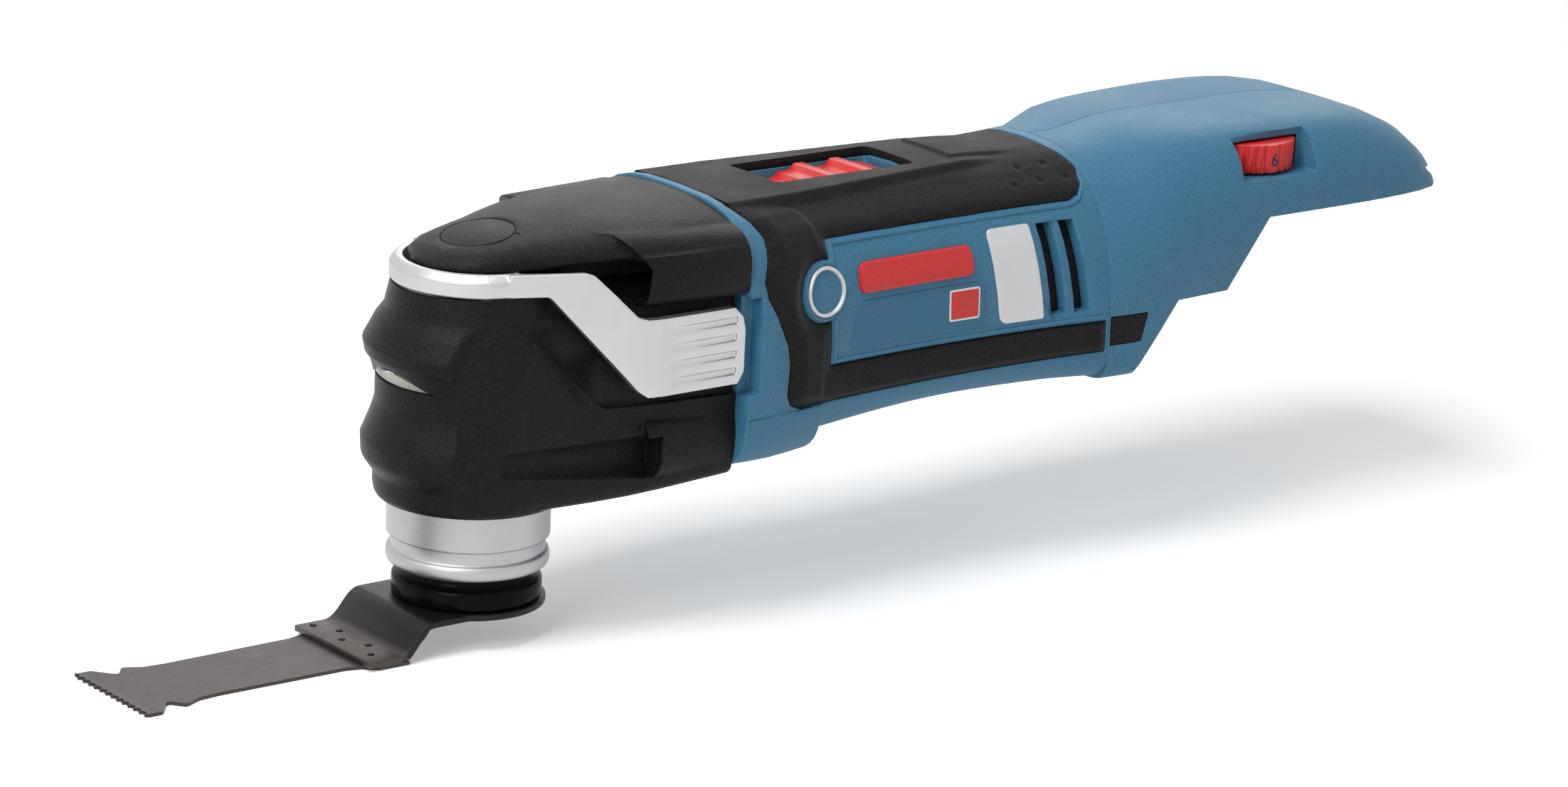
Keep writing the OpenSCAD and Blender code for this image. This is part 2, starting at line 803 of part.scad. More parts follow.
module blade_shank() {
    color("#4a4340")
    difference() {
        union() {
            intersection() {
                side_prism(shank_outline, holder_r + 2);
                translate([0, 0, shank_low - 5])
                union() {
                    box(-50, 0, -shank_w / 2, shank_w / 2, 0, 30);
                    cylinder(r = holder_r + 1, h = 30);
                }
            }
            translate([0, 0, plate_top])
            dome(0, dome_h);
        }
        translate([0, 0, plate_top - shank_t - 0.01])
        dome(-shank_t, dome_h);
        z_rod(hole_r, plate_top - shank_t - cut, plate_top + dome_h + cut);
    }
}

// T-headed blade under the shank, with a saw edge at the front
blade_top = shank_low - shank_t;
neck_w = blade_w - 6;
head_depth = 11;
tooth_depth = 1.5;
blade_rear = shank_front - weld_len - 1;

function blade_half() = [
    [-blade_rear, neck_w / 2], [-blade_reach + 26, neck_w / 2 - 0.6],
    [-blade_reach + 17, neck_w / 2 - 1.4], [-blade_reach + 15, neck_w / 2 + 0.4],
    [-blade_reach + 12.4, neck_w / 2 - 1],
    [-blade_reach + head_depth, blade_w / 2 - 1], [-blade_reach + 3, blade_w / 2]
];
saw_edge = [
    for (k = [0:tooth_count])
    let (y = blade_w / 2 - blade_w * k / tooth_count)
    each (k < tooth_count
          ? [[-blade_reach, y], [-blade_reach + tooth_depth, y - blade_w / tooth_count / 2]]
          : [[-blade_reach, y]])
];

module blade_plate() {
    half = blade_half();
    other = [for (i = [len(half) - 1:-1:0]) [half[i][0], -half[i][1]]];
    color("#453f3c")
    translate([0, 0, blade_top - blade_t])
    linear_extrude(blade_t)
    polygon(concat(half, saw_edge, other));
}

// Grip
grip_table = [
    [head_len, front_w, 12, 38, top_z + 0.2, 3.5],
    [band_x, front_w - 0.5, 12.4, 38, top_z + 0.2, 3.3],
    [skirt_x, waist_w + 1, 14, 38, top_z, 2.9],
    [head_len + grip_len * 0.55, waist_w, 17, 36, top_z, 2.8],
    [seam_x - 18, waist_w + 1.6, seam_low + 0.2, 32, top_z, 2.6],
    [seam_x, seam_w, seam_low, 28, top_z + 0.4, 2.6]
];
skirt_table = [
    [head_len, front_w, 9.2, 38, top_z, 2.9],
    [head_len + 12, front_w - 0.4, 9, 38, top_z, 2.9],
    [skirt_x, front_w - 2.2, 9.6, 38, top_z, 2.9]
];
skirt_z = 24;
panel_x0 = band_x + 18;
panel_low = 35.4;
panel_high = 64.2;
bar_low = 26;
boss_x = panel_x0 - 2.4;
boss_z = 52.4;
boss_r = 7.6;
slot_x = seam_x - 20.6;
slot_w = 4.6;
slot_pitch = 7.1;
slot_lean = 3;
slot_low = panel_low + 1.8;
slot_high = panel_high - 4;
window_x0 = head_len + 26;
window_x1 = window_x0 + window_len;
well_z = motor_z + bore_r + 2.2;
rod_w = 3.4;
rod_z0 = well_z + 0.6;
rod_z1 = rod_z0 + 3;

// Side view of the soft sleeve: top, front bar, lower bar, and the panel left open
module sleeve_mask() {
    difference() {
        side_prism([
            [band_x - 6.4, 90], [band_x - 6.4, 74.4], [band_x - 5.8, 73], [band_x - 3.6, 70.6],
            [band_x - 1.9, 67.3], [band_x - 2.5, 63.2], [band_x - 4.4, 57.6], [band_x - 3.4, 53.5],
            [band_x - 0.4, 48.6], [band_x + 3.4, 40.9], [band_x + 4.3, 35.4], [band_x + 3.8, 28.5],
            [band_x + 5, 25.6], [band_x + 10, 23.6],
            [band_x + 14, bar_low - 1.6], [seam_x - 0.8, bar_low], [seam_x - 0.8, 69],
            [seam_x - 1.2, 71], [seam_x - 2, 72.7], [seam_x - 3.7, 74.6], [seam_x - 4, 90]
        ]);
        side_prism([
            [panel_x0, panel_low - 1.6], [seam_x + 20, panel_low - 1.2], [seam_x + 20, 70],
            [seam_x - 1.6, 70], [seam_x - 2.6, 67.4], [seam_x - 4.6, 65.4], [seam_x - 8.4, panel_high],
            [panel_x0, panel_high + 0.1]
        ]);
        translate([boss_x, 60, boss_z])
        rotate([90, 0, 0])
        cylinder(r = boss_r, h = 120);
    }
}

module switch_window(grow) {
    box(window_x0 - grow, window_x1 + grow, -window_w - grow, window_w + grow, well_z, 90);
}

module motor_housing() {
    color("#3c7ca3")
    difference() {
        union() {
            difference() {
                table_loft(grip_table, 16, 5);
                difference() {
                    sleeve_mask();
                    table_loft(grip_table, 16, 5, sleeve_t);
                }
            }
            intersection() {
                table_loft(skirt_table, 4, 5);
                box(head_len, skirt_x, -50, 50, 0, skirt_z);
            }
        }
        x_rod(bore_r, head_len - cut, rear_bearing_x - 4);
        x_rod(rear_bearing_r + run_gap, head_len, rear_bearing_x + rear_bearing_len);
        x_rod(shaft_r + 2, head_len, seam_x + cut);
        x_rod(stator_r - 2, rear_bearing_x + rear_bearing_len + 3, seam_x - 3);
        for (a = [45:90:315])
            x_rod(3, head_len, seam_x - 4, 14 * cos(a), motor_z + 14 * sin(a));
        switch_window(0);
        box(window_x1 - cut, seam_x + cut, -rod_w - move_gap, rod_w + move_gap, well_z, rod_z1 + move_gap);
        air_slots();
        both_sides() pad_notch();
        screw_places(head_len, spigot_x + 10, screw_r + fit_gap);
    }
}

// Clearance in the front band behind a lever pad
module pad_notch() {
    box(head_len - cut, head_len + 3.4, pad_w - 0.8, 60, pad_z0 - 3.4, ear_low - 0.2);
}

module air_slots() {
    both_sides()
    for (k = [0:1])
        translate([0, -40, 0])
        side_prism([
            [slot_x + k * slot_pitch, slot_high], [slot_x + slot_w + k * slot_pitch, slot_high],
            [slot_x + slot_w + slot_lean + k * slot_pitch, slot_low],
            [slot_x + slot_lean + k * slot_pitch, slot_low]
        ], 28);
}

module grip_sleeve() {
    color("#232324")
    difference() {
        intersection() {
            table_loft(grip_table, 16, 5);
            sleeve_mask();
        }
        table_loft(grip_table, 16, 5, sleeve_t);
        switch_window(0.6);
        box(head_len, skirt_x, -60, 60, 0, skirt_z);
    }
}

// Motor
module stator_core() {
    color("#6d6f72")
    difference() {
        x_rod(stator_r, stator_x, stator_end);
        x_rod(rotor_r + 0.5, stator_x - cut, stator_end + cut);
        for (k = [0:5])
            translate([0, 0, motor_z])
            rotate([60 * k, 0, 0])
            box(stator_x - cut, stator_end + cut, -3, 3, rotor_r + 2.4, stator_r - 3);
    }
}

coil_over = 5;

module stator_coils() {
    color("#b5713a")
    for (k = [0:5])
        translate([0, 0, motor_z])
        rotate([60 * k, 0, 0])
        box(stator_x - coil_over, stator_end + coil_over, -3 + fit_gap, 3 - fit_gap,
            rotor_r + 2.4 + fit_gap, stator_r - 3 - fit_gap);
}

module rotor_core() {
    color("#4f5255")
    x_ring(shaft_r + run_gap / 2, rotor_r, stator_x - 1, stator_end + 1);
}

module rotor_shaft() {
    color("#a3a6a9")
    union() {
        x_rod(shaft_r, follower_x + follower_len + 4, shaft_end - 0.5);
        x_rod(shaft_r - 0.5, follower_x - 1, follower_x + follower_len + 4, 0, motor_z + eccentric);
    }
}

module eccentric_bearing() {
    color("#a9adb1")
    translate([follower_x, 0, motor_z + eccentric])
    rotate([0, 90, 0])
    bearing(shaft_r - 0.5 + run_gap / 2, follower_r, follower_len);
}

module balance_weight() {
    weight_x = follower_x + follower_len + 6;
    color("#8f7a4c")
    difference() {
        x_rod(11, weight_x, weight_x + 8);
        x_rod(shaft_r + run_gap / 2, weight_x - cut, weight_x + 9);
        box(weight_x - cut, weight_x + 9, -20, 20, motor_z + 5, motor_z + 20);
    }
}

module fan() {
    blades = 9;
    color("#2b2c2e")
    union() {
        x_ring(shaft_r + run_gap / 2, 7, fan_x, fan_x + fan_len);
        x_ring(6, stator_r - 1, fan_x + fan_len - 1.6, fan_x + fan_len);
        for (k = [0:blades - 1])
            translate([0, 0, motor_z])
            rotate([360 * k / blades, 0, 0])
            box(fan_x + 1, fan_x + fan_len - 1, -0.7, 0.7, 6.5, stator_r - 1.6);
    }
}

module motor_bearing_front() {
    color("#a9adb1")
    translate([head_len, 0, motor_z])
    rotate([0, 90, 0])
    bearing(shaft_r + run_gap, front_bearing_r, spigot_x - head_len);
}

module motor_bearing_rear() {
    color("#a9adb1")
    translate([rear_bearing_x, 0, motor_z])
    rotate([0, 90, 0])
    bearing(shaft_r + run_gap, rear_bearing_r, rear_bearing_len);
}

module motor_board() {
    board_x = stator_end + coil_over;
    color("#2f6b3c")
    x_ring(shaft_r + 3, stator_r, board_x, board_x + 1.6);
}

// Switch
slider_len = 32;
slider_x1 = window_x1 - 1;
slider_x0 = slider_x1 - slider_len;
slider_w = window_w - move_gap;
slider_z = well_z + 4.4;
slider_top = top_z - 1.2;

module switch_slider() {
    color("#d8232a")
    union() {
        box(slider_x0, slider_x1, -slider_w, slider_w, rod_z1, slider_z);
        translate([0, slider_w - 0.6, 0])
        rotate([90, 0, 0])
        linear_extrude(2 * (slider_w - 0.6))
        polygon([
            [slider_x0 + 2, slider_z - 0.4], [slider_x0 + 4, slider_top - 1.6],
            [slider_x0 + 7.6, slider_top - 1.4], [slider_x0 + 9, slider_top],
            [slider_x0 + 11.6, slider_top], [slider_x0 + 14, slider_top - 1.6],
            [slider_x0 + 19, slider_top - 1.6], [slider_x0 + 20.4, slider_top], [slider_x0 + 23, slider_top],
            [slider_x0 + 26, slider_top - 1.4], [slider_x1 - 1, slider_top - 2],
            [slider_x1 - 1, slider_z - 0.4]
        ]);
    }
}

switch_x = seam_x + 8;

module switch_rod() {
    color("#3a3b3d")
    box(slider_x0 + 6, switch_x, -rod_w, rod_w, rod_z0, rod_z1 - 0.05);
}

module switch_module() {
    color("#1f2022")
    box(switch_x + 0.6, switch_x + 18, -8, 8, board_z, rod_z1 + 1);
}

// Rear housing
rear_table = [
    [seam_x, seam_w, seam_low, 28, top_z + 0.4, 2.6],
    [seam_x + 8, seam_w + 0.7, seam_low, 28, top_z + 0.6, 2.7],
    [seam_x + 22, foot_w - 0.5, seam_low, 30, rear_top_z - 0.3, 3.7],
    [seam_x + 50, foot_w, seam_low, 34, rear_top_z, 4.8],
    [rear_x - 46, foot_w, seam_low, 36, rear_top_z, 4.8],
    [rear_x - 27, foot_w - 0.5, seam_low, 38, rear_top_z - 2, 4.4],
    [rear_x - 12, foot_w - 2, seam_low, 40, rear_top_z - 7.6, 4],
    [rear_x - 3.4, foot_w - 4.8, seam_low, 42, rear_top_z - 14.8, 3.6],
    [rear_x, foot_w - 7.8, seam_low, 44, foot_z + 3.4, 3.4]
];
step_x0 = seam_x + 10;
step_x1 = seam_x + 22.6;
step_z = 36.6;
step_x2 = seam_x + 39;
step_x3 = seam_x + 52.4;
foot_outline = [
    [seam_x - cut, 0], [seam_x + 9, 0], [step_x0, 20], [step_x1, step_z], [step_x2, step_z + 0.6],
    [step_x3, foot_z], [rear_x + cut, foot_z], [rear_x + cut, 100], [seam_x - cut, 100]
];
deck_z = foot_z + 5;
deck_t = 3;
rail_w = 27;
rail_gap = 31;
dial_x = seam_x + 56.6;
dial_y = dial_r + 3.4 - foot_w;
dial_z = 69.3;
window_half = 12.6;
board_z = deck_z + deck_t;

// Left half of the rear shell, flat at the middle plane
module rear_half() {
    difference() {
        intersection() {
            table_loft(rear_table, 18, 8, 0, ring_n / 4, 3 * ring_n / 4);
            side_prism(foot_outline);
        }
        battery_bay();
        rear_hollow();
        pad_prism(fit_gap);
    }
}

// Battery bay: open below and behind, with a rail along each side
module battery_bay() {
    box(step_x2 + 6, rear_x + cut, -rail_w, rail_w, 0, deck_z);
    both_sides()
    box(step_x3 + 4, rear_x + cut, rail_w - cut, rail_gap, foot_z + 2.4, deck_z);
    box(step_x1 - 4, step_x2 + 7, -22, 22, 0, step_z + 8);
}

// Hollow for the electronics above the deck and for the air path at the seam
module rear_hollow() {
    box(seam_x + 26, rear_x - 40, 12 - foot_w, foot_w - 12, board_z, rear_top_z - 7);
    box(seam_x - cut, seam_x + 27, -10, 10, board_z, rod_z1 + 1.4);
    x_rod(14, seam_x - cut, step_x0 + 4);
}

// Pocket and window for the speed dial
module dial_pocket() {
    pocket_h = dial_h / 2 + move_gap;
    z_rod(dial_r + move_gap, dial_z - pocket_h, dial_z + pocket_h, dial_x, dial_y);
    dial_window();
}

// Short grip bar behind the seam, on the left side
module pad_prism(grow) {
    difference() {
        side_prism([
            [seam_x + 0.8 - grow, bar_low + 1.4 - grow], [step_x0 + 0.6 + grow, bar_low + 1.6 - grow],
            [step_x0 + 2.6 + grow, panel_low - 0.8 + grow], [seam_x + 0.8 - grow, panel_low - 0.8 + grow]
        ]);
        table_loft(rear_table, 18, 8, sleeve_t + grow);
        box(seam_x - cut, seam_x + 40, -8, 70, 0, 90);
    }
}

module dial_window() {
    box(dial_x - window_half, dial_x + window_half, -50, dial_y - dial_r + 5.4,
        dial_z - dial_h / 2 - 0.7, dial_z + dial_h / 2 + 2.4);
}

module rear_housing_left() {
    color("#3c7ca3")
    difference() {
        rear_half();
        dial_pocket();
        screw_set(screw_r, 26);
    }
}

module rear_housing_right() {
    color("#3c7ca3")
    difference() {
        mirror([0, 1, 0])
        rear_half();
        screw_set(screw_r + fit_gap, 60);
        screw_heads(fit_gap, 60);
    }
}

// Screws that close the rear housing, put in from the right side
screw_spots = [[seam_x + 6.4, 23.4], [seam_x + 25, 53], [rear_x - 31, 68]];
head_seat = 27;

module screw_set(r, y1) {
    for (s = screw_spots)
        translate([s[0], -14, s[1]])
        rotate([-90, 0, 0])
        cylinder(r = r, h = 14 + min(y1, head_seat));
}

module screw_heads(grow, y1) {
    for (s = screw_spots)
        translate([s[0], head_seat, s[1]])
        rotate([-90, 0, 0])
        cylinder(r = screw_r + 1.6 + grow, h = y1 - head_seat);
}

module housing_screws() {
    color("#4d5054")
    union() {
        screw_set(screw_r, head_seat);
        screw_heads(0, head_seat + 2.4);
    }
}

module rear_grip_pads() {
    color("#232324")
    both_sides()
    intersection() {
        table_loft(rear_table, 18, 8);
        pad_prism(0);
    }
}

// Speed dial
rib_count = 36;
rib_first = 185;
plain_rib = 8;

module speed_dial() {
    color("#d8232a")
    difference() {
        translate([dial_x, dial_y, dial_z - dial_h / 2])
        cylinder(r = dial_r, h = dial_h);
        for (k = [0:rib_count - 1])
            if (k != plain_rib)
            translate([dial_x, dial_y, dial_z - dial_h])
            rotate([0, 0, rib_first + 360 * k / rib_count])
            translate([dial_r + 0.35, 0, 0])
            cylinder(r = 0.95, h = 2 * dial_h);
        translate([dial_x, dial_y, dial_z - dial_h])
        cylinder(r = 2 + run_gap, h = 2 * dial_h);
    }
}

module dial_shaft() {
    color("#8d9094")
    translate([dial_x, dial_y, board_z + 1.6])
    union() {
        cylinder(r = 2, h = dial_z + dial_h / 2 - board_z - 1.6);
        cylinder(r = 4.2, h = dial_z - dial_h / 2 - move_gap - board_z - 1.6);
    }
}

// Electronics and battery terminals
module electronics_board() {
    color("#2f6b3c")
    box(seam_x + 30, rear_x - 44, -24, 24, board_z, board_z + 1.6);
}

module heat_sink() {
    fins = 6;
    color("#9fa3a6")
    union() {
        box(seam_x + 32, seam_x + 40, -10, 21.6, board_z + 1.6, board_z + 4);
        for (k = [0:fins - 1])
            box(seam_x + 32, seam_x + 40, -10 + k * 6, -8.4 + k * 6, board_z + 3, board_z + 7);
    }
}

terminal_x = step_x3 + 8;

module terminal_block() {
    color("#242527")
    box(terminal_x, terminal_x + 16, -15, 15, deck_z - 2.4, deck_z);
}

module battery_contacts() {
    color("#b08d4a")
    for (k = [-2:2])
        box(terminal_x + 2, terminal_x + 14, 5 * k - 0.5, 5 * k + 0.5, deck_z - 4.8, deck_z - 2.4);
}

head_housing();
head_cover();
axis_cap();
clamp_lever();
lever_axle();
led_lens();
led_board();
gear_case();
tool_holder();
output_spindle();
spindle_bearing_lower();
spindle_bearing_upper();
drive_fork();
clamp_rod();
clamp_spring();
clamp_jaws();
blade_shank();
blade_plate();
motor_housing();
grip_sleeve();
stator_core();
stator_coils();
rotor_core();
rotor_shaft();
eccentric_bearing();
balance_weight();
fan();
motor_bearing_front();
motor_bearing_rear();
motor_board();
gear_case_screws();
switch_slider();
switch_rod();
switch_module();
rear_housing_left();
rear_housing_right();
rear_grip_pads();
speed_dial();
dial_shaft();
electronics_board();
heat_sink();
terminal_block();
battery_contacts();
housing_screws();
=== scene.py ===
import json
import math

import bmesh
import bpy
from mathutils import Matrix, Vector
from mathutils.bvhtree import BVHTree
from mathutils.kdtree import KDTree

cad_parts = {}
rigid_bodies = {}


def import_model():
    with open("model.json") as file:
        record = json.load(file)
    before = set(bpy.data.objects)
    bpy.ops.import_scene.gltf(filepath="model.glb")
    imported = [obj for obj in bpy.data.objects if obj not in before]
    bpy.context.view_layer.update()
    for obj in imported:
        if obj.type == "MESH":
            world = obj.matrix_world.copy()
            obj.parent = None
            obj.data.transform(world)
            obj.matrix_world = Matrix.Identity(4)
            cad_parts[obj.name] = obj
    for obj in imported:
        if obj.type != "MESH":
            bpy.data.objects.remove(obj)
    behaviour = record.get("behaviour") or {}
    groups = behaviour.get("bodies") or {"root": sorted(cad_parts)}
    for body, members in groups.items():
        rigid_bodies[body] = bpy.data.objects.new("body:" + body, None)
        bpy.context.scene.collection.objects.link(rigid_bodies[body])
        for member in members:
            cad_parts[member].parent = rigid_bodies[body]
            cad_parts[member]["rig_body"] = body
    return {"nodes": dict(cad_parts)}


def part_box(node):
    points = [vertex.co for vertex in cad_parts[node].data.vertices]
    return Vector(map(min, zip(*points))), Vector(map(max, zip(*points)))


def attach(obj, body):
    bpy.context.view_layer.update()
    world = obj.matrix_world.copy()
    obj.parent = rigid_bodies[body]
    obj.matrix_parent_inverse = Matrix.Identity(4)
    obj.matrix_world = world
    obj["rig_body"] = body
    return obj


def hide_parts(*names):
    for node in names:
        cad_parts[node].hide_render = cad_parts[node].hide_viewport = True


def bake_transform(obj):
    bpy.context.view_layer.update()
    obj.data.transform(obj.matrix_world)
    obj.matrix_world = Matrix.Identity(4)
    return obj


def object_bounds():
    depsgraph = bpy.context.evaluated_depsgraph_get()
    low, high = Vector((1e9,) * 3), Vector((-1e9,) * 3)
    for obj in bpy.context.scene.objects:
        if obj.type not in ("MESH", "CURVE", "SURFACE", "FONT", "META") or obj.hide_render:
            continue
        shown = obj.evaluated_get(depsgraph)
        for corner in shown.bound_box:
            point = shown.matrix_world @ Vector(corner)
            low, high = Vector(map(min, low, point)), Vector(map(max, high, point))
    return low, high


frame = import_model()
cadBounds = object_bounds()
cadNodes = frame["nodes"]
scene = bpy.context.scene
mm = 0.001
sides = ((-1, "Left"), (1, "Right"))
print("frame loaded:", len(cadNodes), "nodes")


def linear(hexCode):
    # sRGB hex to linear colour
    channels = [int(hexCode[i:i + 2], 16) / 255 for i in (1, 3, 5)]
    return [c / 12.92 if c < 0.04045 else ((c + 0.055) / 1.055) ** 2.4 for c in channels] + [1.0]


def addNode(tree, kind, settings=None, inputs=None):
    # A shader node with its settings; an input is a value, or a pair of node and output to link
    node = tree.nodes.new(kind)
    for key, value in (settings or {}).items():
        setattr(node, key, value)
    for key, value in (inputs or {}).items():
        if isinstance(value, tuple):
            tree.links.new(value[0].outputs[value[1]], node.inputs[key])
        else:
            node.inputs[key].default_value = value
    return node


def newMaterial(name):
    material = bpy.data.materials.new(name)
    material.use_nodes = True
    material.node_tree.nodes.clear()
    return material, material.node_tree


# Noise keeps near its middle, so that part of its range is spread over the whole
wideNoise = {"From Min": 0.3, "From Max": 0.7}
narrowNoise = {"From Min": 0.35, "From Max": 0.65}


def mouldedPlastic(name, look):
    # Spark-eroded mould grain: a fine pebble in the surface that scatters small highlights
    material, tree = newMaterial(name)
    place = addNode(tree, "ShaderNodeTexCoord")
    grain = addNode(tree, "ShaderNodeTexNoise", None, {
        "Vector": (place, "Object"), "Scale": 1 / (look["grainMm"] * mm), "Detail": 2.0, "Roughness": 0.55})
    cloud = addNode(tree, "ShaderNodeTexNoise", None, {
        "Vector": (place, "Object"), "Scale": 1 / (look["cloudMm"] * mm), "Detail": 3.0})
    speckle = addNode(tree, "ShaderNodeMapRange", None, {"Value": (grain, 0), **narrowNoise})
    tint = addNode(tree, "ShaderNodeMix", {"data_type": "RGBA"}, {
        0: (speckle, 0), 6: linear(look["dark"]), 7: linear(look["light"])})
    gloss = addNode(tree, "ShaderNodeMapRange", None, {
        "Value": (cloud, 0), **wideNoise, "To Min": look["roughLow"], "To Max": look["roughHigh"]})
    bump = addNode(tree, "ShaderNodeBump", None, {
        "Strength": look["bump"], "Distance": look["depthMm"] * mm, "Height": (grain, 0)})
    shader = addNode(tree, "ShaderNodeBsdfPrincipled", None, {
        "Base Color": (tint, 2), "Roughness": (gloss, 0), "Normal": (bump, 0),
        "IOR": look["ior"], "Specular IOR Level": look["specular"], "Sheen Weight": look.get("sheen", 0.0),
        "Sheen Roughness": 0.35})
    addNode(tree, "ShaderNodeOutputMaterial", None, {"Surface": (shader, 0)})
    return material


def satinMetal(name, look):
    # Blasted or burnished metal: blurred reflections, a fine grit and slow changes in shine
    material, tree = newMaterial(name)
    place = addNode(tree, "ShaderNodeTexCoord")
    lay = addNode(tree, "ShaderNodeMapping", None, {"Vector": (place, "Object"), "Scale": look["stretch"]})
    grit = addNode(tree, "ShaderNodeTexNoise", None, {
        "Vector": (lay, 0), "Scale": 1 / (look["gritMm"] * mm), "Detail": 3.0})
    cloud = addNode(tree, "ShaderNodeTexNoise", None, {
        "Vector": (place, "Object"), "Scale": 1 / (look["cloudMm"] * mm), "Detail": 3.0})
    tint = addNode(tree, "ShaderNodeMix", {"data_type": "RGBA"}, {
        0: (cloud, 0), 6: linear(look["dark"]), 7: linear(look["light"])})
    if "paintedSkyReflection" in look:
        # Painted reflection: the front flat is painted lighter, as if it mirrored the bright sky, fading out
        # further back
        axes = addNode(tree, "ShaderNodeSeparateXYZ", None, {"Vector": (place, "Object")})
        skyReflectionMask = addNode(tree, "ShaderNodeMapRange", None, {
            "Value": (axes, 0), "From Min": look["paintedSkyReflectionX"][0] * mm, "From Max": look["paintedSkyReflectionX"][1] * mm,
            "To Min": 1.0, "To Max": 0.0})
        tint = addNode(tree, "ShaderNodeMix", {"data_type": "RGBA"}, {
            0: (skyReflectionMask, 0), 6: (tint, 2), 7: linear(look["paintedSkyReflection"])})
    gloss = addNode(tree, "ShaderNodeMapRange", None, {
        "Value": (grit, 0), **wideNoise, "To Min": look["roughLow"], "To Max": look["roughHigh"]})
    bump = addNode(tree, "ShaderNodeBump", None, {
        "Strength": look["bump"], "Distance": look["depthMm"] * mm, "Height": (grit, 0)})
    shader = addNode(tree, "ShaderNodeBsdfPrincipled", None, {
        "Base Color": (tint, 2), "Metallic": look["metallic"], "Roughness": (gloss, 0), "Normal": (bump, 0)})
    addNode(tree, "ShaderNodeOutputMaterial", None, {"Surface": (shader, 0)})
    return material


def clearPlastic(name, look):
    # Injection-moulded polycarbonate: clear, with a faint haze from the diffusing pattern
    material, tree = newMaterial(name)
    place = addNode(tree, "ShaderNodeTexCoord")
    haze = addNode(tree, "ShaderNodeTexNoise", None, {
        "Vector": (place, "Object"), "Scale": 1 / (look["hazeMm"] * mm), "Detail": 2.0})
    gloss = addNode(tree, "ShaderNodeMapRange", None, {
        "Value": (haze, 0), "To Min": look["roughLow"], "To Max": look["roughHigh"]})
    shader = addNode(tree, "ShaderNodeBsdfPrincipled", None, {
        "Base Color": linear(look["colour"]), "Roughness": (gloss, 0), "IOR": look["ior"],
        "Transmission Weight": look["clear"]})
    addNode(tree, "ShaderNodeOutputMaterial", None, {"Surface": (shader, 0)})
    return material


# The real grain is about 0.2 mm; it is drawn at 0.5 mm so that it shows at this size

# ABS from a spark-eroded mould: satin blue whose highlights break into fine points
blueAbs = mouldedPlastic("blueGrainedAbs", {
    "light": "#437F9F", "dark": "#386F8E", "grainMm": 0.5, "cloudMm": 14, "roughLow": 0.42, "roughHigh": 0.5,
    "bump": 0.35, "depthMm": 0.12, "ior": 1.53, "specular": 0.35})
# The same ABS from a smoother mould: a little deeper and more even
deepBlueAbs = mouldedPlastic("deepBlueSmoothAbs", {
    "light": "#387493", "dark": "#326B8A", "grainMm": 0.5, "cloudMm": 14, "roughLow": 0.4, "roughHigh": 0.46,
    "bump": 0.15, "depthMm": 0.08, "ior": 1.53, "specular": 0.35})
# Glass-filled nylon with a coarse grain: almost black, with small grey glints
blackNylon = mouldedPlastic("blackGlassFilledNylon", {
    "light": "#1E1E1F", "dark": "#0A0A0B", "grainMm": 0.55, "cloudMm": 12,
    "roughLow": 0.34, "roughHigh": 0.42, "bump": 0.9, "depthMm": 0.25, "ior": 1.53, "specular": 0.12,
    "sheen": 0.06})
# Soft thermoplastic elastomer: dry, matt black with a faint sheen
softTpe = mouldedPlastic("blackSoftTpe", {
    "light": "#252525", "dark": "#131313", "grainMm": 0.6, "cloudMm": 15, "roughLow": 0.48, "roughHigh": 0.6,
    "bump": 0.8, "depthMm": 0.2, "ior": 1.5, "specular": 0.1, "sheen": 0.14})
# ABS from a polished mould: clean red with small bright highlights
redAbs = mouldedPlastic("redGlossyAbs", {
    "light": "#DB2A26", "dark": "#D0211F", "grainMm": 0.7, "cloudMm": 9, "roughLow": 0.3, "roughHigh": 0.38,
    "bump": 0.1, "depthMm": 0.06, "ior": 1.53, "specular": 0.5})
# Plain nylon of the inner pieces: dull dark grey
innerNylon = mouldedPlastic("darkInnerNylon", {
    "light": "#3A3A3C", "dark": "#2E2E30", "grainMm": 0.8, "cloudMm": 10, "roughLow": 0.5, "roughHigh": 0.6,
    "bump": 0.2, "depthMm": 0.08, "ior": 1.53, "specular": 0.4})
# Fibreglass board under green lacquer: even and slightly shiny
boardResin = mouldedPlastic("greenFibreglassBoard", {
    "light": "#2F6B45", "dark": "#26593A", "grainMm": 0.6, "cloudMm": 6, "roughLow": 0.35, "roughHigh": 0.45,
    "bump": 0.15, "depthMm": 0.05, "ior": 1.55, "specular": 0.5})
# Fibreglass board under white lacquer: pale, it throws the lamp's light forward
lightBoard = mouldedPlastic("whiteFibreglassBoard", {
    "light": "#E4E2D8", "dark": "#D8D6CB", "grainMm": 0.6, "cloudMm": 6, "roughLow": 0.35, "roughHigh": 0.45,
    "bump": 0.15, "depthMm": 0.05, "ior": 1.55, "specular": 0.5})
# Pad-printed ink: thin, flat and dark blue
inkNavy = mouldedPlastic("navyPrintedInk", {
    "light": "#2A2347", "dark": "#241E40", "grainMm": 0.5, "cloudMm": 5, "roughLow": 0.4, "roughHigh": 0.5,
    "bump": 0.1, "depthMm": 0.02, "ior": 1.5, "specular": 0.4})
# Die-cast zinc, blasted: pale silver with soft, wide reflections
castZinc = satinMetal("satinDieCastZinc", {
    "light": "#CDCED0", "dark": "#BDBEC0", "gritMm": 0.5, "cloudMm": 16, "stretch": [1, 1, 1],
    "roughLow": 0.34, "roughHigh": 0.44, "bump": 0.2, "depthMm": 0.08, "metallic": 1.0})
# Cast aluminium, blasted: a little darker and duller than the zinc
blastedAluminium = satinMetal("blastedAluminium", {
    "light": "#BFC0C2", "dark": "#AEAFB1", "gritMm": 0.5, "cloudMm": 18, "stretch": [1, 1, 1],
    "roughLow": 0.4, "roughHigh": 0.52, "bump": 0.3, "depthMm": 0.1, "metallic": 1.0})
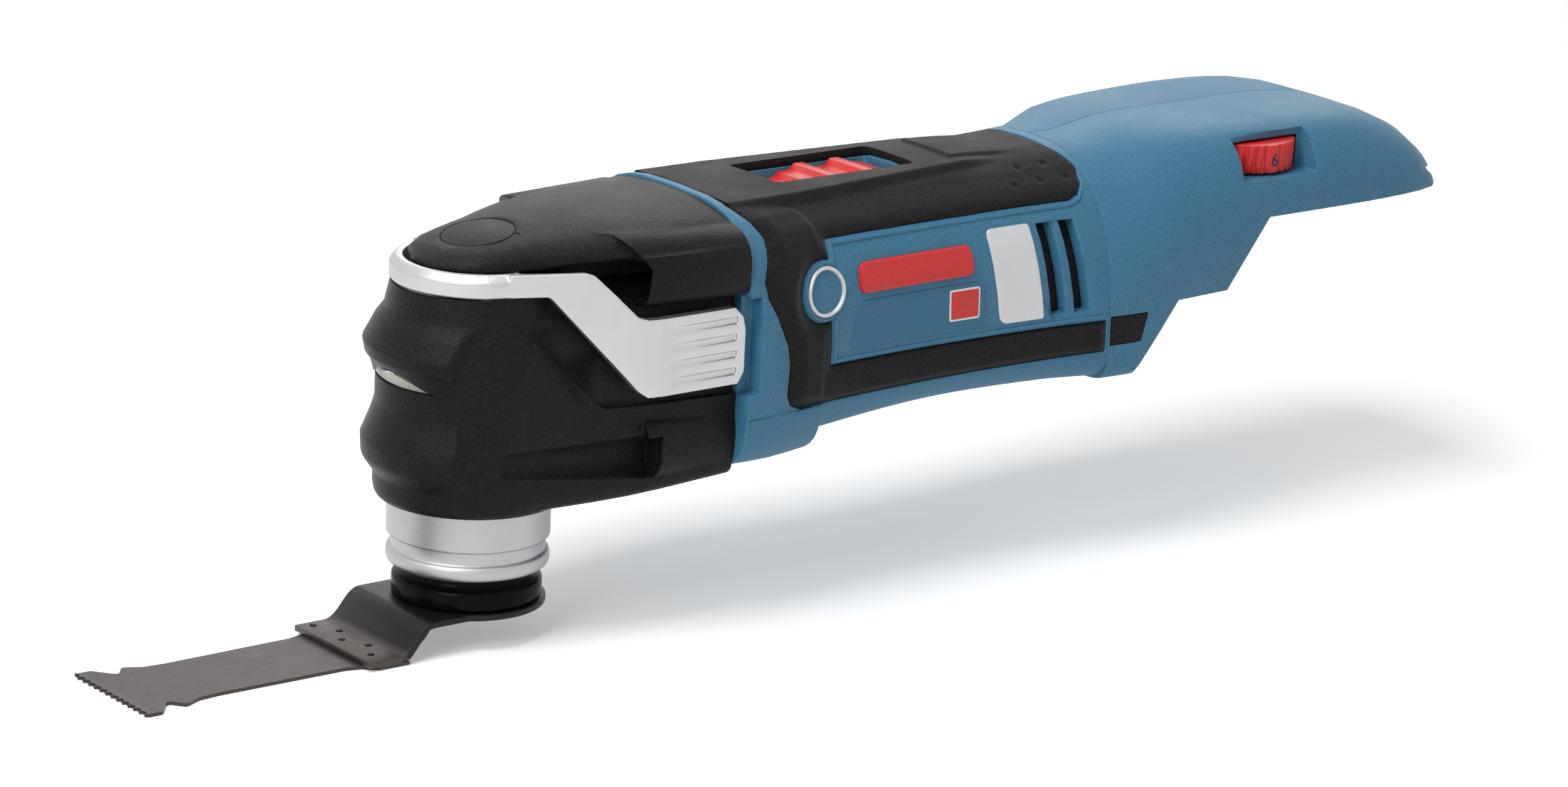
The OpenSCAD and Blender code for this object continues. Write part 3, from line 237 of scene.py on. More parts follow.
# Hardened saw steel: brown grey with faint lines along the blade
burnishedSteel = satinMetal("burnishedToolSteel", {
    "light": "#4A4340", "dark": "#383230", "gritMm": 0.8, "cloudMm": 9, "stretch": [0.25, 1.6, 1],
    "roughLow": 0.34, "roughHigh": 0.46, "bump": 0.12, "depthMm": 0.05, "metallic": 0.45})
# The same steel under a dark oxide, painted darker still as shade for the dark surroundings its slope
# mirrors; its front flat is painted lighter as a reflection of the sky
bentSteel = satinMetal("oxideAndPaintedShadeSteel", {
    "light": "#231E1D", "dark": "#171413", "gritMm": 0.8, "cloudMm": 9, "stretch": [0.25, 1.6, 1],
    "roughLow": 0.32, "roughHigh": 0.44, "bump": 0.12, "depthMm": 0.05, "metallic": 0.6,
    "paintedSkyReflection": "#4E4744", "paintedSkyReflectionX": (-29.2, -27.4)})
# Oiled black oxide on hard steel: deep black with narrow glints
blackOxide = mouldedPlastic("blackOxideCoat", {
    "light": "#101113", "dark": "#090A0B", "grainMm": 0.4, "cloudMm": 10, "roughLow": 0.16, "roughHigh": 0.24,
    "bump": 0.1, "depthMm": 0.04, "ior": 1.53, "specular": 0.05})
# Ground bearing steel: bright, with tight reflections
groundSteel = satinMetal("groundBearingSteel", {
    "light": "#B9BCBF", "dark": "#A6A9AC", "gritMm": 0.5, "cloudMm": 8, "stretch": [1, 1, 1],
    "roughLow": 0.18, "roughHigh": 0.28, "bump": 0.08, "depthMm": 0.04, "metallic": 1.0})
# Stacked motor sheets: grey with fine lines across the shaft
darkLaminations = satinMetal("stackedLaminationSteel", {
    "light": "#77797C", "dark": "#626467", "gritMm": 0.5, "cloudMm": 8, "stretch": [6, 0.4, 0.4],
    "roughLow": 0.4, "roughHigh": 0.55, "bump": 0.3, "depthMm": 0.1, "metallic": 1.0})
# Enamelled copper wire: warm and shiny, ribbed along the windings
enamelledCopper = satinMetal("enamelledCopperWire", {
    "light": "#BF7440", "dark": "#A65F31", "gritMm": 0.6, "cloudMm": 5, "stretch": [0.2, 2, 2],
    "roughLow": 0.28, "roughHigh": 0.4, "bump": 0.35, "depthMm": 0.12, "metallic": 1.0})
# Plated brass: bright yellow, with soft reflections
brightBrass = satinMetal("platedBrass", {
    "light": "#CDAF62", "dark": "#B99A50", "gritMm": 0.5, "cloudMm": 6, "stretch": [1, 1, 1],
    "roughLow": 0.25, "roughHigh": 0.35, "bump": 0.08, "depthMm": 0.04, "metallic": 1.0})
# Brushed foil: pale silver with fine streaks along the grip
silverFoil = satinMetal("brushedSilverFoil", {
    "light": "#D9DADC", "dark": "#CDCED1", "gritMm": 0.6, "cloudMm": 14, "stretch": [0.3, 1, 3],
    "roughLow": 0.4, "roughHigh": 0.5, "bump": 0.08, "depthMm": 0.03, "metallic": 0.55})
# Polycarbonate of the lens: water clear, a little blurred
lensPlastic = clearPlastic("hazyPolycarbonate", {
    "colour": "#F7F7F3", "hazeMm": 1.2, "roughLow": 0.02, "roughHigh": 0.1, "clear": 1.0,
    "ior": 1.585})
print("materials made:", len(bpy.data.materials))



def addPiece(name, shape, body, material, smoothDeg=40):
    mesh = bpy.data.meshes.new(name)
    shape.to_mesh(mesh)
    shape.free()
    mesh.materials.append(material)
    mesh.shade_smooth()
    mesh.set_sharp_from_angle(angle=math.radians(smoothDeg))
    piece = bpy.data.objects.new(name, mesh)
    scene.collection.objects.link(piece)
    if body:
        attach(piece, body)
    return piece


def finishNode(node, look, shape):
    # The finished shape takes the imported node's place
    piece = addPiece(
        look["name"], shape, cadNodes[node]["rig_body"], look["material"], look["smoothDeg"])
    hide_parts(node)
    return piece


def between(pair, share):
    return pair[0] + (pair[1] - pair[0]) * share


def ease(value, low, high):
    # 0 below low, 1 above high, smooth between
    share = min(max((value - low) / (high - low), 0), 1)
    return share * share * (3 - 2 * share)


def onLine(points, place):
    # The height of a broken line at that place, level beyond its ends
    for (x0, z0), (x1, z1) in zip(points, points[1:]):
        if place <= x1:
            return z0 + (z1 - z0) * max(place - x0, 0) / (x1 - x0)
    return points[-1][1]


def onlyVerts(geom):
    return [item for item in geom if isinstance(item, bmesh.types.BMVert)]


def unitGrid(columns, rows):
    # A flat grid to be laid on a form: its corners, each with its share across and its share along
    shape = bmesh.new()
    bmesh.ops.create_grid(shape, x_segments=columns, y_segments=rows, size=0.5)
    return shape, [(vert, vert.co.x + 0.5, vert.co.y + 0.5) for vert in shape.verts]


def faceOutwards(shape, direction):
    # The faces of an open sheet turned to the side that is seen
    bmesh.ops.recalc_face_normals(shape, faces=shape.faces)
    if sum(face.normal.dot(direction) * face.calc_area() for face in shape.faces) < 0:
        bmesh.ops.reverse_faces(shape, faces=shape.faces)


def rimWall(shape):
    # A wall begun all round an open sheet: its new corners, still to be moved back
    rim = [edge for edge in shape.edges if edge.is_boundary]
    return onlyVerts(bmesh.ops.extrude_edge_only(shape, edges=rim)["geom"])


def roundBends(shape, bend):
    # A pressed sheet's bends drawn as curves: it is cut across in steps,
    # and each cut follows the mean of the sheet's line round it
    for k in range(math.ceil((bend["end"] - bend["start"]) / bend["step"]) + 1):
        place = Vector((bend["start"] + bend["step"] * k, 0, 0)) * mm
        every = shape.verts[:] + shape.edges[:] + shape.faces[:]
        bmesh.ops.bisect_plane(shape, geom=every, dist=1e-6, plane_co=place, plane_no=(1, 0, 0))
    samples = bend["samples"]
    reach = [bend["spread"] * (k / samples - 1) for k in range(2 * samples + 1)]
    for vert in shape.verts:
        x = vert.co.x / mm
        if bend["start"] < x < bend["end"]:
            mean = sum(onLine(bend["line"], x + step) for step in reach) / len(reach)
            vert.co.z += (mean - onLine(bend["line"], x)) * mm
    # Slanting cuts within a flat strip go, so that the shading runs straight across
    bent = [v for v in shape.verts if v.co.x < bend["end"] * mm]
    strips = [e for e in shape.edges if all(v.co.x < bend["end"] * mm for v in e.verts)]
    bmesh.ops.dissolve_limit(shape, angle_limit=math.radians(bend["flatDeg"]), verts=bent, edges=strips)


# What a bevelled solid has unless its own entry says otherwise
dressing = {
    "mergeMm": 0.02, "edgeDeg": 38, "frontX": -1000, "frontDeg": 38, "skipBoxes": [], "steps": 2,
    "crests": [], "crestReach": 0.12, "crestLevel": 0.06, "strayShare": 1.05, "smoothDeg": 34,
}


def dressNode(node, changes):
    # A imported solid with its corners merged, its edges rounded and its curves shaded smooth
    look = {**dressing, **changes}
    shape = bmesh.new()
    shape.from_mesh(cadNodes[node].data)
    bmesh.ops.remove_doubles(shape, verts=shape.verts, dist=look["mergeMm"] * mm)
    for vert in shape.verts:
        # Crest lines of a turned profile: a ring of corners at one radius and height moves to a crisper place
        reach, height = math.hypot(vert.co.x, vert.co.y) / mm, vert.co.z / mm
        for radius, level, newRadius, newLevel in look["crests"]:
            if abs(reach - radius) < look["crestReach"] and abs(height - level) < look["crestLevel"]:
                scale = newRadius / reach
                vert.co = Vector((vert.co.x * scale, vert.co.y * scale, newLevel * mm))
    if "bend" in look:
        roundBends(shape, look["bend"])
    solid = BVHTree.FromBMesh(shape)
    sharp = []
    for edge in shape.edges:
        middle = (edge.verts[0].co + edge.verts[1].co) / 2 / mm
        if any(x0 < middle.x < x1 and z0 < middle.z < z1 for x0, x1, z0, z1 in look["skipBoxes"]):
            continue
        limit = math.radians(look["frontDeg"] if middle.x < look["frontX"] else look["edgeDeg"])
        if len(edge.link_faces) == 2 and edge.calc_face_angle() > limit:
            sharp.append(edge)
    bmesh.ops.bevel(
        shape, geom=sharp, offset=look["roundMm"] * mm, offset_type="OFFSET", affect="EDGES",
        segments=look["steps"], profile=0.5, material=-1, clamp_overlap=False)
    for vert in shape.verts:
        # A corner that the rounding threw out goes back to the solid
        spot, _, _, gap = solid.find_nearest(vert.co)
        if gap > look["strayShare"] * look["roundMm"] * mm:
            vert.co = spot
    for face in shape.faces:
        face.material_index = 0
    return finishNode(node, look, shape)


# What a resampled solid has unless its own entry says otherwise
moulding = {
    "mergeMm": 0.01, "edgeDeg": 38, "blendBox": (0, 0, 0, 0), "keepMm": 0.9, "melt": 24, "soften": 3,
    "smoothDeg": 70,
}


def mouldedShape(node, look):
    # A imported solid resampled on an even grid: its facets melt away, its edges keep a small mould radius
    source = bmesh.new()
    source.from_mesh(cadNodes[node].data)
    bmesh.ops.remove_doubles(source, verts=source.verts, dist=look["mergeMm"] * mm)
    step = look["gridMm"] * mm
    x0, x1, z0, z1 = look["blendBox"]
    corners = []
    for edge in source.edges:
        if len(edge.link_faces) == 2 and edge.calc_face_angle() > math.radians(look["edgeDeg"]):
            start, end = (vert.co.copy() for vert in edge.verts)
            middle = (start + end) / 2 / mm
            if x0 < middle.x < x1 and z0 < middle.z < z1:
                continue
            count = max(1, math.ceil((end - start).length / step))
            corners += [start.lerp(end, k / count) for k in range(count + 1)]
    cornerTree = KDTree(len(corners))
    for index, corner in enumerate(corners):
        cornerTree.insert(corner, index)
    cornerTree.balance()
    raw = bpy.data.meshes.new("rawSolid")
    source.to_mesh(raw)
    source.free()
    carrier = bpy.data.objects.new("rawSolid", raw)
    scene.collection.objects.link(carrier)
    evenGrid = carrier.modifiers.new("evenGrid", "REMESH")
    evenGrid.mode = "VOXEL"
    evenGrid.voxel_size = step
    shape = bmesh.new()
    shape.from_object(carrier, bpy.context.evaluated_depsgraph_get())
    bpy.data.objects.remove(carrier)
    bpy.data.meshes.remove(raw)
    loose = [v for v in shape.verts if cornerTree.find(v.co)[2] > look["keepMm"] * mm]
    for verts, passes in ((loose, look["melt"]), (shape.verts, look["soften"])):
        for _ in range(passes):
            bmesh.ops.smooth_vert(
                shape, verts=verts, factor=0.5, use_axis_x=True, use_axis_y=True, use_axis_z=True)
    return shape, cornerTree


moulded = {
    "clamp_lever": {"name": "clampLever", "slot": "lever_metal", "material": castZinc, "gridMm": 0.28,
                    "edgeDeg": 24, "keepMm": 0.4, "melt": 10, "soften": 1, "blendBox": (-9, 1, 57, 67)},
    "rear_grip_pads": {"name": "rearPads", "slot": "soft_black", "material": softTpe, "gridMm": 0.3,
                       "edgeDeg": 28, "melt": 8},
}
for node, changes in moulded.items():
    look = {**moulding, **changes}
    piece = finishNode(node, look, mouldedShape(node, look)[0])
    print("moulded", look["name"], len(piece.data.polygons))

# Side skins that dimples, plates and ribs lie on
sideSkin = bmesh.new()
for node in ("motor_housing", "grip_sleeve"):
    sideSkin.from_mesh(cadNodes[node].data)
sideTree = BVHTree.FromBMesh(sideSkin)
sideSkin.free()
castFrom = 90 * mm


def skinPoint(x, z, side, lift):
    # The point of the grip's side at that place, lifted off it by so many millimetres
    start = Vector((x * mm, side * castFrom, z * mm))
    spot, normal, _, _ = sideTree.ray_cast(start, Vector((0, -side, 0)))
    return spot + normal * lift * mm


# Soft sleeve: a flat deck round the switch, a raised rear pad, a proud front frame and five thumb dimples
sleeve = {
    **moulding, "name": "gripSleeve", "slot": "soft_black", "material": softTpe, "gridMm": 0.55,
    "axisZ": 42, "outwardFrom": 0.25,
    "deckFrom": 66, "deckTop": 75.1, "deckCrown": 0.0022, "deckFade": (138, 154),
    "foot": [(80, 20.0), (150, 13.6)], "wallMm": 2.0,
    "padFrom": 72, "padX": 137.2, "padY": 9.6, "padRise": 0.7, "padEdge": 0.5, "padFade": (147, 162),
    "frameX": [(25, 80.6), (64, 81.0), (67.5, 80.4), (70.4, 79.2), (71.6, 76.6), (72.4, 72.0)],
    "frameRise": 0.7, "frameBlend": 1.2, "frameFade": (70.6, 72.4), "proudMm": 0.9, "proudFade": (66, 71),
    "slopeFrom": 0.25, "slopeMm": (2.0, 4.6), "slopeFade": (76, 83),
    "dimples": [(149.0, 68.7), (154.0, 71.9), (157.6, 69.0), (162.2, 72.1), (165.8, 69.1)],
    "dimpleR": 1.5, "dimpleDeep": 0.55,
}
sleeveShape, outlineTree = mouldedShape("grip_sleeve", sleeve)
sleeveShape.normal_update()
dimpleSpots = [skinPoint(x, z, side, 0) for x, z in sleeve["dimples"] for side, _ in sides]
padX, padY, padEdge = sleeve["padX"], sleeve["padY"], sleeve["padEdge"]
moves = []
for vert in sleeveShape.verts:
    x, y, z = vert.co / mm
    outward = Vector((0, y, z - sleeve["axisZ"])).normalized()
    if vert.normal.dot(outward) < sleeve["outwardFrom"]:
        continue
    shift = Vector((0, 0, 0))
    across = abs(y)
    foot = onLine(sleeve["foot"], x)
    if across < foot and z > sleeve["deckFrom"]:
        deck = sleeve["deckTop"] - sleeve["deckCrown"] * y * y
        blend = 1 - ease(across, foot - sleeve["wallMm"], foot)
        blend *= 1 - ease(x, *sleeve["deckFade"])
        shift.z += max(deck - z, 0) * blend
    if z > sleeve["padFrom"]:
        lift = ease(x, padX - padEdge, padX + padEdge)
        lift *= 1 - ease(x, *sleeve["padFade"])
        shift.z += sleeve["padRise"] * lift * (1 - ease(across, padY - padEdge, padY + padEdge))
    if z < sleeve["frameFade"][1]:
        edge = onLine(sleeve["frameX"], z)
        proud = 1 - ease(x, edge - sleeve["frameBlend"], edge + sleeve["frameBlend"])
        rise = sleeve["proudMm"] * (1 - ease(z, *sleeve["proudFade"]))
        rise += sleeve["frameRise"] * proud * (1 - ease(z, *sleeve["frameFade"]))
        slope = between(sleeve["slopeMm"], 1 - ease(x, *sleeve["slopeFade"]))
        inside = outlineTree.find(vert.co)[2] / mm
        shift += vert.normal * rise * ease(inside, sleeve["slopeFrom"], slope)
    for spot in dimpleSpots:
        gap = (vert.co - spot).length / mm
        if gap < sleeve["dimpleR"]:
            shift -= vert.normal * sleeve["dimpleDeep"] * (1 - ease(gap, 0, sleeve["dimpleR"]))
    moves.append((vert, shift * mm))
for vert, shift in moves:
    vert.co += shift
finishNode("grip_sleeve", sleeve, sleeveShape)
print("sleeve shaped")

shell = {
    "head_housing": {
        "name": "headLower", "slot": "black_plastic", "material": blackNylon, "roundMm": 0.35,
        "frontX": -10, "frontDeg": 15, "skipBoxes": [(-17, 26, 28.5, 66), (-20.8, -15, 39.3, 44.6)],
        "smoothDeg": 17,
        "crests": [(26.4, 43.0, 26.3, 41.9), (26.2, 45.0, 26.6, 44.3), (26.1, 21.8, 25.8, 22.4),
                   (26.4, 20.0, 26.6, 20.5)]},
    "head_cover": {"name": "headHood", "slot": "black_plastic", "material": blackNylon, "roundMm": 0.4},
    "motor_housing": {"name": "gripTube", "slot": "blue_plastic", "material": blueAbs, "roundMm": 0.3},
    "rear_housing_left": {
        "name": "rearHalfLeft", "slot": "blue_plastic", "material": blueAbs, "roundMm": 0.3},
    "rear_housing_right": {
        "name": "rearHalfRight", "slot": "blue_plastic", "material": blueAbs, "roundMm": 0.3},
    "axis_cap": {"name": "hoodDisc", "slot": "black_plastic", "material": blackNylon, "roundMm": 0.4},
    "led_lens": {"name": "lightLens", "slot": "clear_lens", "material": lensPlastic, "roundMm": 0.3},
    "gear_case": {"name": "gearCase", "slot": "cast_metal", "material": blastedAluminium, "roundMm": 0.35},
    "tool_holder": {"name": "toolHolder", "slot": "holder_steel", "material": blackOxide, "roundMm": 0.4},
    "blade_shank": {
        "name": "bladeShank", "slot": "blade_steel", "material": bentSteel, "roundMm": 0.2,
        "bend": {
            "start": -31.6, "end": -18.4, "step": 0.4, "spread": 2.0, "samples": 4, "flatDeg": 0.3,
            "line": [(-40, -26.05), (-28, -26.05), (-22.8, -19.55), (-22, -19.05), (0, -19.05)]}},
    "switch_slider": {
        "name": "switchSlider", "slot": "red_plastic", "material": redAbs, "roundMm": 0.5, "steps": 3},
    "speed_dial": {"name": "speedDial", "slot": "red_plastic", "material": redAbs, "roundMm": 0.25},
}
for node, changes in shell.items():
    dressNode(node, changes)
print("shell dressed:", len(shell), "pieces")

innerFinish = {
    "lever_axle": groundSteel, "led_board": lightBoard, "output_spindle": groundSteel,
    "spindle_bearing_lower": groundSteel, "spindle_bearing_upper": groundSteel, "drive_fork": groundSteel,
    "clamp_rod": groundSteel, "clamp_jaws": groundSteel,
    "stator_core": darkLaminations, "stator_coils": enamelledCopper, "rotor_core": darkLaminations,
    "rotor_shaft": groundSteel, "eccentric_bearing": groundSteel, "balance_weight": brightBrass,
    "fan": innerNylon, "motor_bearing_front": groundSteel, "motor_bearing_rear": groundSteel,
    "motor_board": boardResin, "gear_case_screws": groundSteel, "switch_rod": innerNylon,
    "switch_module": innerNylon, "dial_shaft": groundSteel, "electronics_board": boardResin,
    "heat_sink": blastedAluminium, "terminal_block": innerNylon, "battery_contacts": brightBrass,
    "housing_screws": blackOxide,
}
for node, finish in innerFinish.items():
    mesh = cadNodes[node].data
    mesh.materials.clear()
    mesh.materials.append(finish)
print("inner nodes finished:", len(innerFinish))


def cornerInset(radius, edge):
    # How far a rounded corner draws the outline in at that distance from the end
    return radius - math.sqrt(max(radius ** 2 - (radius - edge) ** 2, 0)) if edge < radius else 0


def sidePlate(name, look, side):
    # A thin crowned plate, rounded at its corners and leaning with its outline, laid on the curved side
    low, high = look["level"]
    shape, corners = unitGrid(*look["grid"])
    for vert, *shares in corners:
        # Rows lie closer towards the rim, where the crown falls
        across, along = (0.5 - 0.5 * math.cos(math.pi * share) for share in shares)
        z = between(look["level"], along)
        edge = min(z - low, high - z)
        left = between(look["left"], along) + cornerInset(look["corners"][0], edge)
        right = between(look["right"], along) - cornerInset(look["corners"][1], edge)
        x = between((left, right), across)
        drop = cornerInset(look["round"], min(edge, x - left, right - x))
        vert.co = skinPoint(x, z, side, look["lift"] - drop)
    faceOutwards(shape, Vector((0, side, 0)))
    for vert in rimWall(shape):
        vert.co.y -= side * look["depth"] * mm
    return addPiece(name, shape, "housing", look["material"])


# Heights from low to high; left and right edges at the lowest and the highest row
plates = {
    "infoPlate": {
        "level": (36.6, 48.6), "left": (90.4, 92.2), "right": (133.8, 133.0), "corners": (1.2, 1.2),
        "lift": 0.22, "depth": 1.2, "round": 0.12, "grid": (20, 16),
        "material": deepBlueAbs, "slot": "blue_plastic"},
    "foilPlate": {
        "level": (36.7, 60.6), "left": (138.2, 134.7), "right": (152.0, 148.8), "corners": (2.2, 0.8),
        "lift": 0.3, "depth": 1.4, "round": 0.12, "grid": (12, 28),
        "material": silverFoil, "slot": "lever_metal"},
    "redBar": {
        "level": (50.4, 57.8), "left": (92.5, 93.0), "right": (129.5, 129.0), "corners": (2.2, 2.2),
        "lift": 1.1, "depth": 2.2, "round": 0.5, "grid": (22, 16),
        "material": redAbs, "slot": "red_plastic"},
    "tagBorder": {
        "level": (39.4, 47.4), "left": (121.8, 121.6), "right": (131.4, 131.4), "corners": (0.6, 0.6),
        "lift": 0.38, "depth": 1.0, "round": 0.08, "grid": (10, 12),
        "material": silverFoil, "slot": "lever_metal"},
    "tagPlate": {
        "level": (39.9, 46.9), "left": (122.3, 122.1), "right": (130.9, 130.9), "corners": (0.4, 0.4),
        "lift": 0.48, "depth": 0.8, "round": 0.06, "grid": (10, 12),
        "material": redAbs, "slot": "red_plastic"},
}
for side, word in sides:
    for name, look in plates.items():
        sidePlate(name + word, look, side)
print("side plates laid")


def skinSweep(name, look, side):
    # A rim or ring drawn along a path on the grip's side; the section gives steps across and lifts
    shape = bmesh.new()
    path, section, closed = look["path"], look["section"], look["closed"]
    count = len(path)
    rings = []
    for index, (x, z) in enumerate(path):
        before = path[index - 1] if index > 0 or closed else path[index]
        after = path[(index + 1) % count] if index < count - 1 or closed else path[index]
        runX, runZ = after[0] - before[0], after[1] - before[1]
        length = math.hypot(runX, runZ)
        crossX, crossZ = -runZ / length, runX / length
        spots = [skinPoint(x + crossX * step, z + crossZ * step, side, lift) for step, lift in section]
        rings.append([shape.verts.new(spot) for spot in spots])
    following = rings[1:] + rings[:1] if closed else rings[1:]
    for near, far in zip(rings, following):
        for k in range(len(section) - 1):
            shape.faces.new((near[k], near[k + 1], far[k + 1], far[k]))
    if not closed:
        shape.faces.new(rings[0])
        shape.faces.new(rings[-1])
    faceOutwards(shape, Vector((0, side, 0)))
    return addPiece(name, shape, "housing", look["material"], look["smoothDeg"])


def arcPoints(centre, radius, turnDeg, count):
    angles = [math.radians(between(turnDeg, k / count)) for k in range(count + 1)]
    return [(centre[0] + radius * math.cos(angle), centre[1] + radius * math.sin(angle)) for angle in angles]


def finePath(points, stepMm):
    # The same path with points no farther apart than the step
    fine = [points[0]]
    for (x0, z0), (x1, z1) in zip(points, points[1:]):
        count = max(1, math.ceil(math.hypot(x1 - x0, z1 - z0) / stepMm))
        fine += [(x0 + (x1 - x0) * k / count, z0 + (z1 - z0) * k / count) for k in range(1, count + 1)]
    return fine


# Raised rims beside the sleeve and the plain ring on the round boss
boss = {"centre": (81.8, 52.4), "rim": 6.85, "rimDeg": (-62, -298), "rimSteps": 40,
        "ring": 5.7, "ringDeg": (0, 354), "ringSteps": 59}
panelCorners = [
    (170.6, 35.0), (85.1, 34.6), (85.1, 45.2),
    *arcPoints(boss["centre"], boss["rim"], boss["rimDeg"], boss["rimSteps"]),
    (85.1, 59.6), (85.1, 63.4), (163.2, 63.4), (166.8, 64.6), (168.7, 66.4)]
panelStep = 1.2
sweeps = {
    "panelRim": {
        "path": finePath(panelCorners, panelStep), "closed": False, "smoothDeg": 50,
        "section": [(-0.6, -0.4), (-0.55, 0.2), (-0.3, 0.42), (0.2, 0.42), (0.45, 0.2), (0.5, -0.4)],
        "material": blueAbs, "slot": "blue_plastic"},
    "bossRing": {
        "path": arcPoints(boss["centre"], boss["ring"], boss["ringDeg"], boss["ringSteps"]), "closed": True,
        "smoothDeg": 50,
        "section": [(-0.5, -0.4), (-0.5, 0.4), (-0.3, 0.66), (0.3, 0.66), (0.5, 0.4), (0.5, -0.4)],
        "material": silverFoil, "slot": "lever_metal"},
}
for side, word in sides:
    for name, look in sweeps.items():
        skinSweep(name + word, look, side)
print("rims and rings laid")

# Painted shade: a black sheet set behind the air slots, so that they read dark inside
slotShade = {"x": (149.6, 168.4), "level": (36.6, 61.2), "deep": 3.4, "thick": 0.4, "grid": (6, 14)}
for side, word in sides:
    shape, corners = unitGrid(*slotShade["grid"])
    for vert, across, along in corners:
        z = between(slotShade["level"], along)
        front, rear = (skinPoint(x, z, side, -slotShade["deep"]) for x in slotShade["x"])
        vert.co = front.lerp(rear, across)
    bmesh.ops.solidify(shape, geom=shape.faces[:], thickness=slotShade["thick"] * mm)
    bmesh.ops.recalc_face_normals(shape, faces=shape.faces)
    addPiece("slotShadeSheet" + word, shape, "housing", blackNylon)
print("slot guards set")

# Brow under the upper bulge: it closes the lens slot to a point on each side
brow = {"turnDeg": (4, 45), "reach": (23.75, 25.0), "low": (39.0, 35.2), "fallDeg": (2, 44), "top": 40.1,
        "tuckMm": 1.8, "tuckDeg": (36, 45), "deep": 2.2, "grid": (30, 5), "smoothDeg": 30}
for side, word in sides:
    shape, corners = unitGrid(*brow["grid"])
    for vert, across, along in corners:
        degrees = between(brow["turnDeg"], across)
        angle = math.radians(degrees)
        low = between(brow["low"], ease(degrees, *brow["fallDeg"]))
        reach = between(brow["reach"], along) - brow["tuckMm"] * ease(degrees, *brow["tuckDeg"])
        height = between((low, brow["top"]), along)
        vert.co = Vector((-reach * math.cos(angle), side * reach * math.sin(angle), height)) * mm
    faceOutwards(shape, Vector((-1, 0, 0)))
    for vert in rimWall(shape):
        vert.co -= Vector((vert.co.x, vert.co.y, 0)).normalized() * brow["deep"] * mm
    addPiece("lensBrow" + word, shape, "housing", blackNylon, brow["smoothDeg"])
print("brows set")

# Printed 6 on the dial's plain face; thick and longEdge are shares of its size
dial = {"x": 228.6, "y": -20.2, "z": 69.1, "radius": 13.0, "angleDeg": 265.6, "sizeMm": 4.8, "lift": 0.05,
        "thick": 0.02, "longEdge": 0.12}
numeral = bpy.data.curves.new("numeralSix", "FONT")
numeral.body = "6"
numeral.size = 1.0
numeral.extrude = dial["thick"]
carrier = bpy.data.objects.new("numeralSix", numeral)
scene.collection.objects.link(carrier)
shape = bmesh.new()
shape.from_mesh(carrier.to_mesh())
carrier.to_mesh_clear()
bpy.data.objects.remove(carrier)
bpy.data.curves.remove(numeral)
longEdges = [e for e in shape.edges if e.calc_length() > dial["longEdge"]]
bmesh.ops.subdivide_edges(shape, edges=longEdges, cuts=2)
across = [v.co.x for v in shape.verts]
along = [v.co.y for v in shape.verts]
middleX, middleY = (min(across) + max(across)) / 2, (min(along) + max(along)) / 2
for vert in shape.verts:
    angle = math.radians(dial["angleDeg"]) + (vert.co.x - middleX) * dial["sizeMm"] / dial["radius"]
    reach = dial["radius"] + dial["lift"] + vert.co.z * dial["sizeMm"]
    height = dial["z"] + (vert.co.y - middleY) * dial["sizeMm"]
    vert.co = Vector((dial["x"] + reach * math.cos(angle), dial["y"] + reach * math.sin(angle), height)) * mm
bmesh.ops.recalc_face_normals(shape, faces=shape.faces)
addPiece("dialNumeral", shape, "dial", inkNavy)
print("numeral printed")

# Clamp spring: a round wire wound between the spindle's seat and the rod's collar
coil = {"radius": 4.43, "wire": 0.55, "low": 10.72, "high": 35.28, "turns": 7, "sides": 10,
        "stepsPerTurn": 30}
steps = coil["turns"] * coil["stepsPerTurn"]
pitchStep = (coil["high"] - coil["low"]) * mm / steps
upright = Matrix.Rotation(math.pi / 2, 3, "X") @ Matrix.Rotation(math.pi / 2, 3, "Z")
shape = bmesh.new()
ring = bmesh.ops.create_circle(shape, segments=coil["sides"], radius=coil["wire"] * mm)["verts"]
bmesh.ops.rotate(shape, verts=ring, matrix=upright)
bmesh.ops.translate(shape, verts=ring, vec=(coil["radius"] * mm, 0, coil["low"] * mm))
bmesh.ops.spin(
    shape, geom=shape.verts[:] + shape.edges[:], axis=(0, 0, 1), angle=2 * math.pi * coil["turns"],
    dvec=(0, 0, pitchStep), steps=steps)
bmesh.ops.holes_fill(shape, edges=[edge for edge in shape.edges if edge.is_boundary])
bmesh.ops.recalc_face_normals(shape, faces=shape.faces)
spring = addPiece("clampSpring", shape, None, groundSteel)
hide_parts("clamp_spring")
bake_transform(spring)
print("spring wound")

# Toothed blade: hooked head, drawn-in neck and every other tooth set upwards
saw = {"thick": 0.9, "teeth": 26, "toothDeep": 1.1, "stripMm": 1.7, "setMm": 0.5,
       "hookRound": 0.9, "roundX": (4, 30), "roundSteps": 4, "sameMm": 0.01, "smoothDeg": 30,
       "half": [(4.6, 16.0), (8.4, 11.3), (9.4, 11.1), (11.9, 14.3), (13.2, 13.9), (16.6, 12.2), (22.5, 11.7),
                (57.0, 12.1), (60.8, 13.0), (64.6, 16.0)]}


def edgesAcross(shape, x):
    # The edges that lie across the blade at that place
    return [e for e in shape.edges if all(abs(v.co.x / mm - x) < saw["sameMm"] for v in e.verts)]


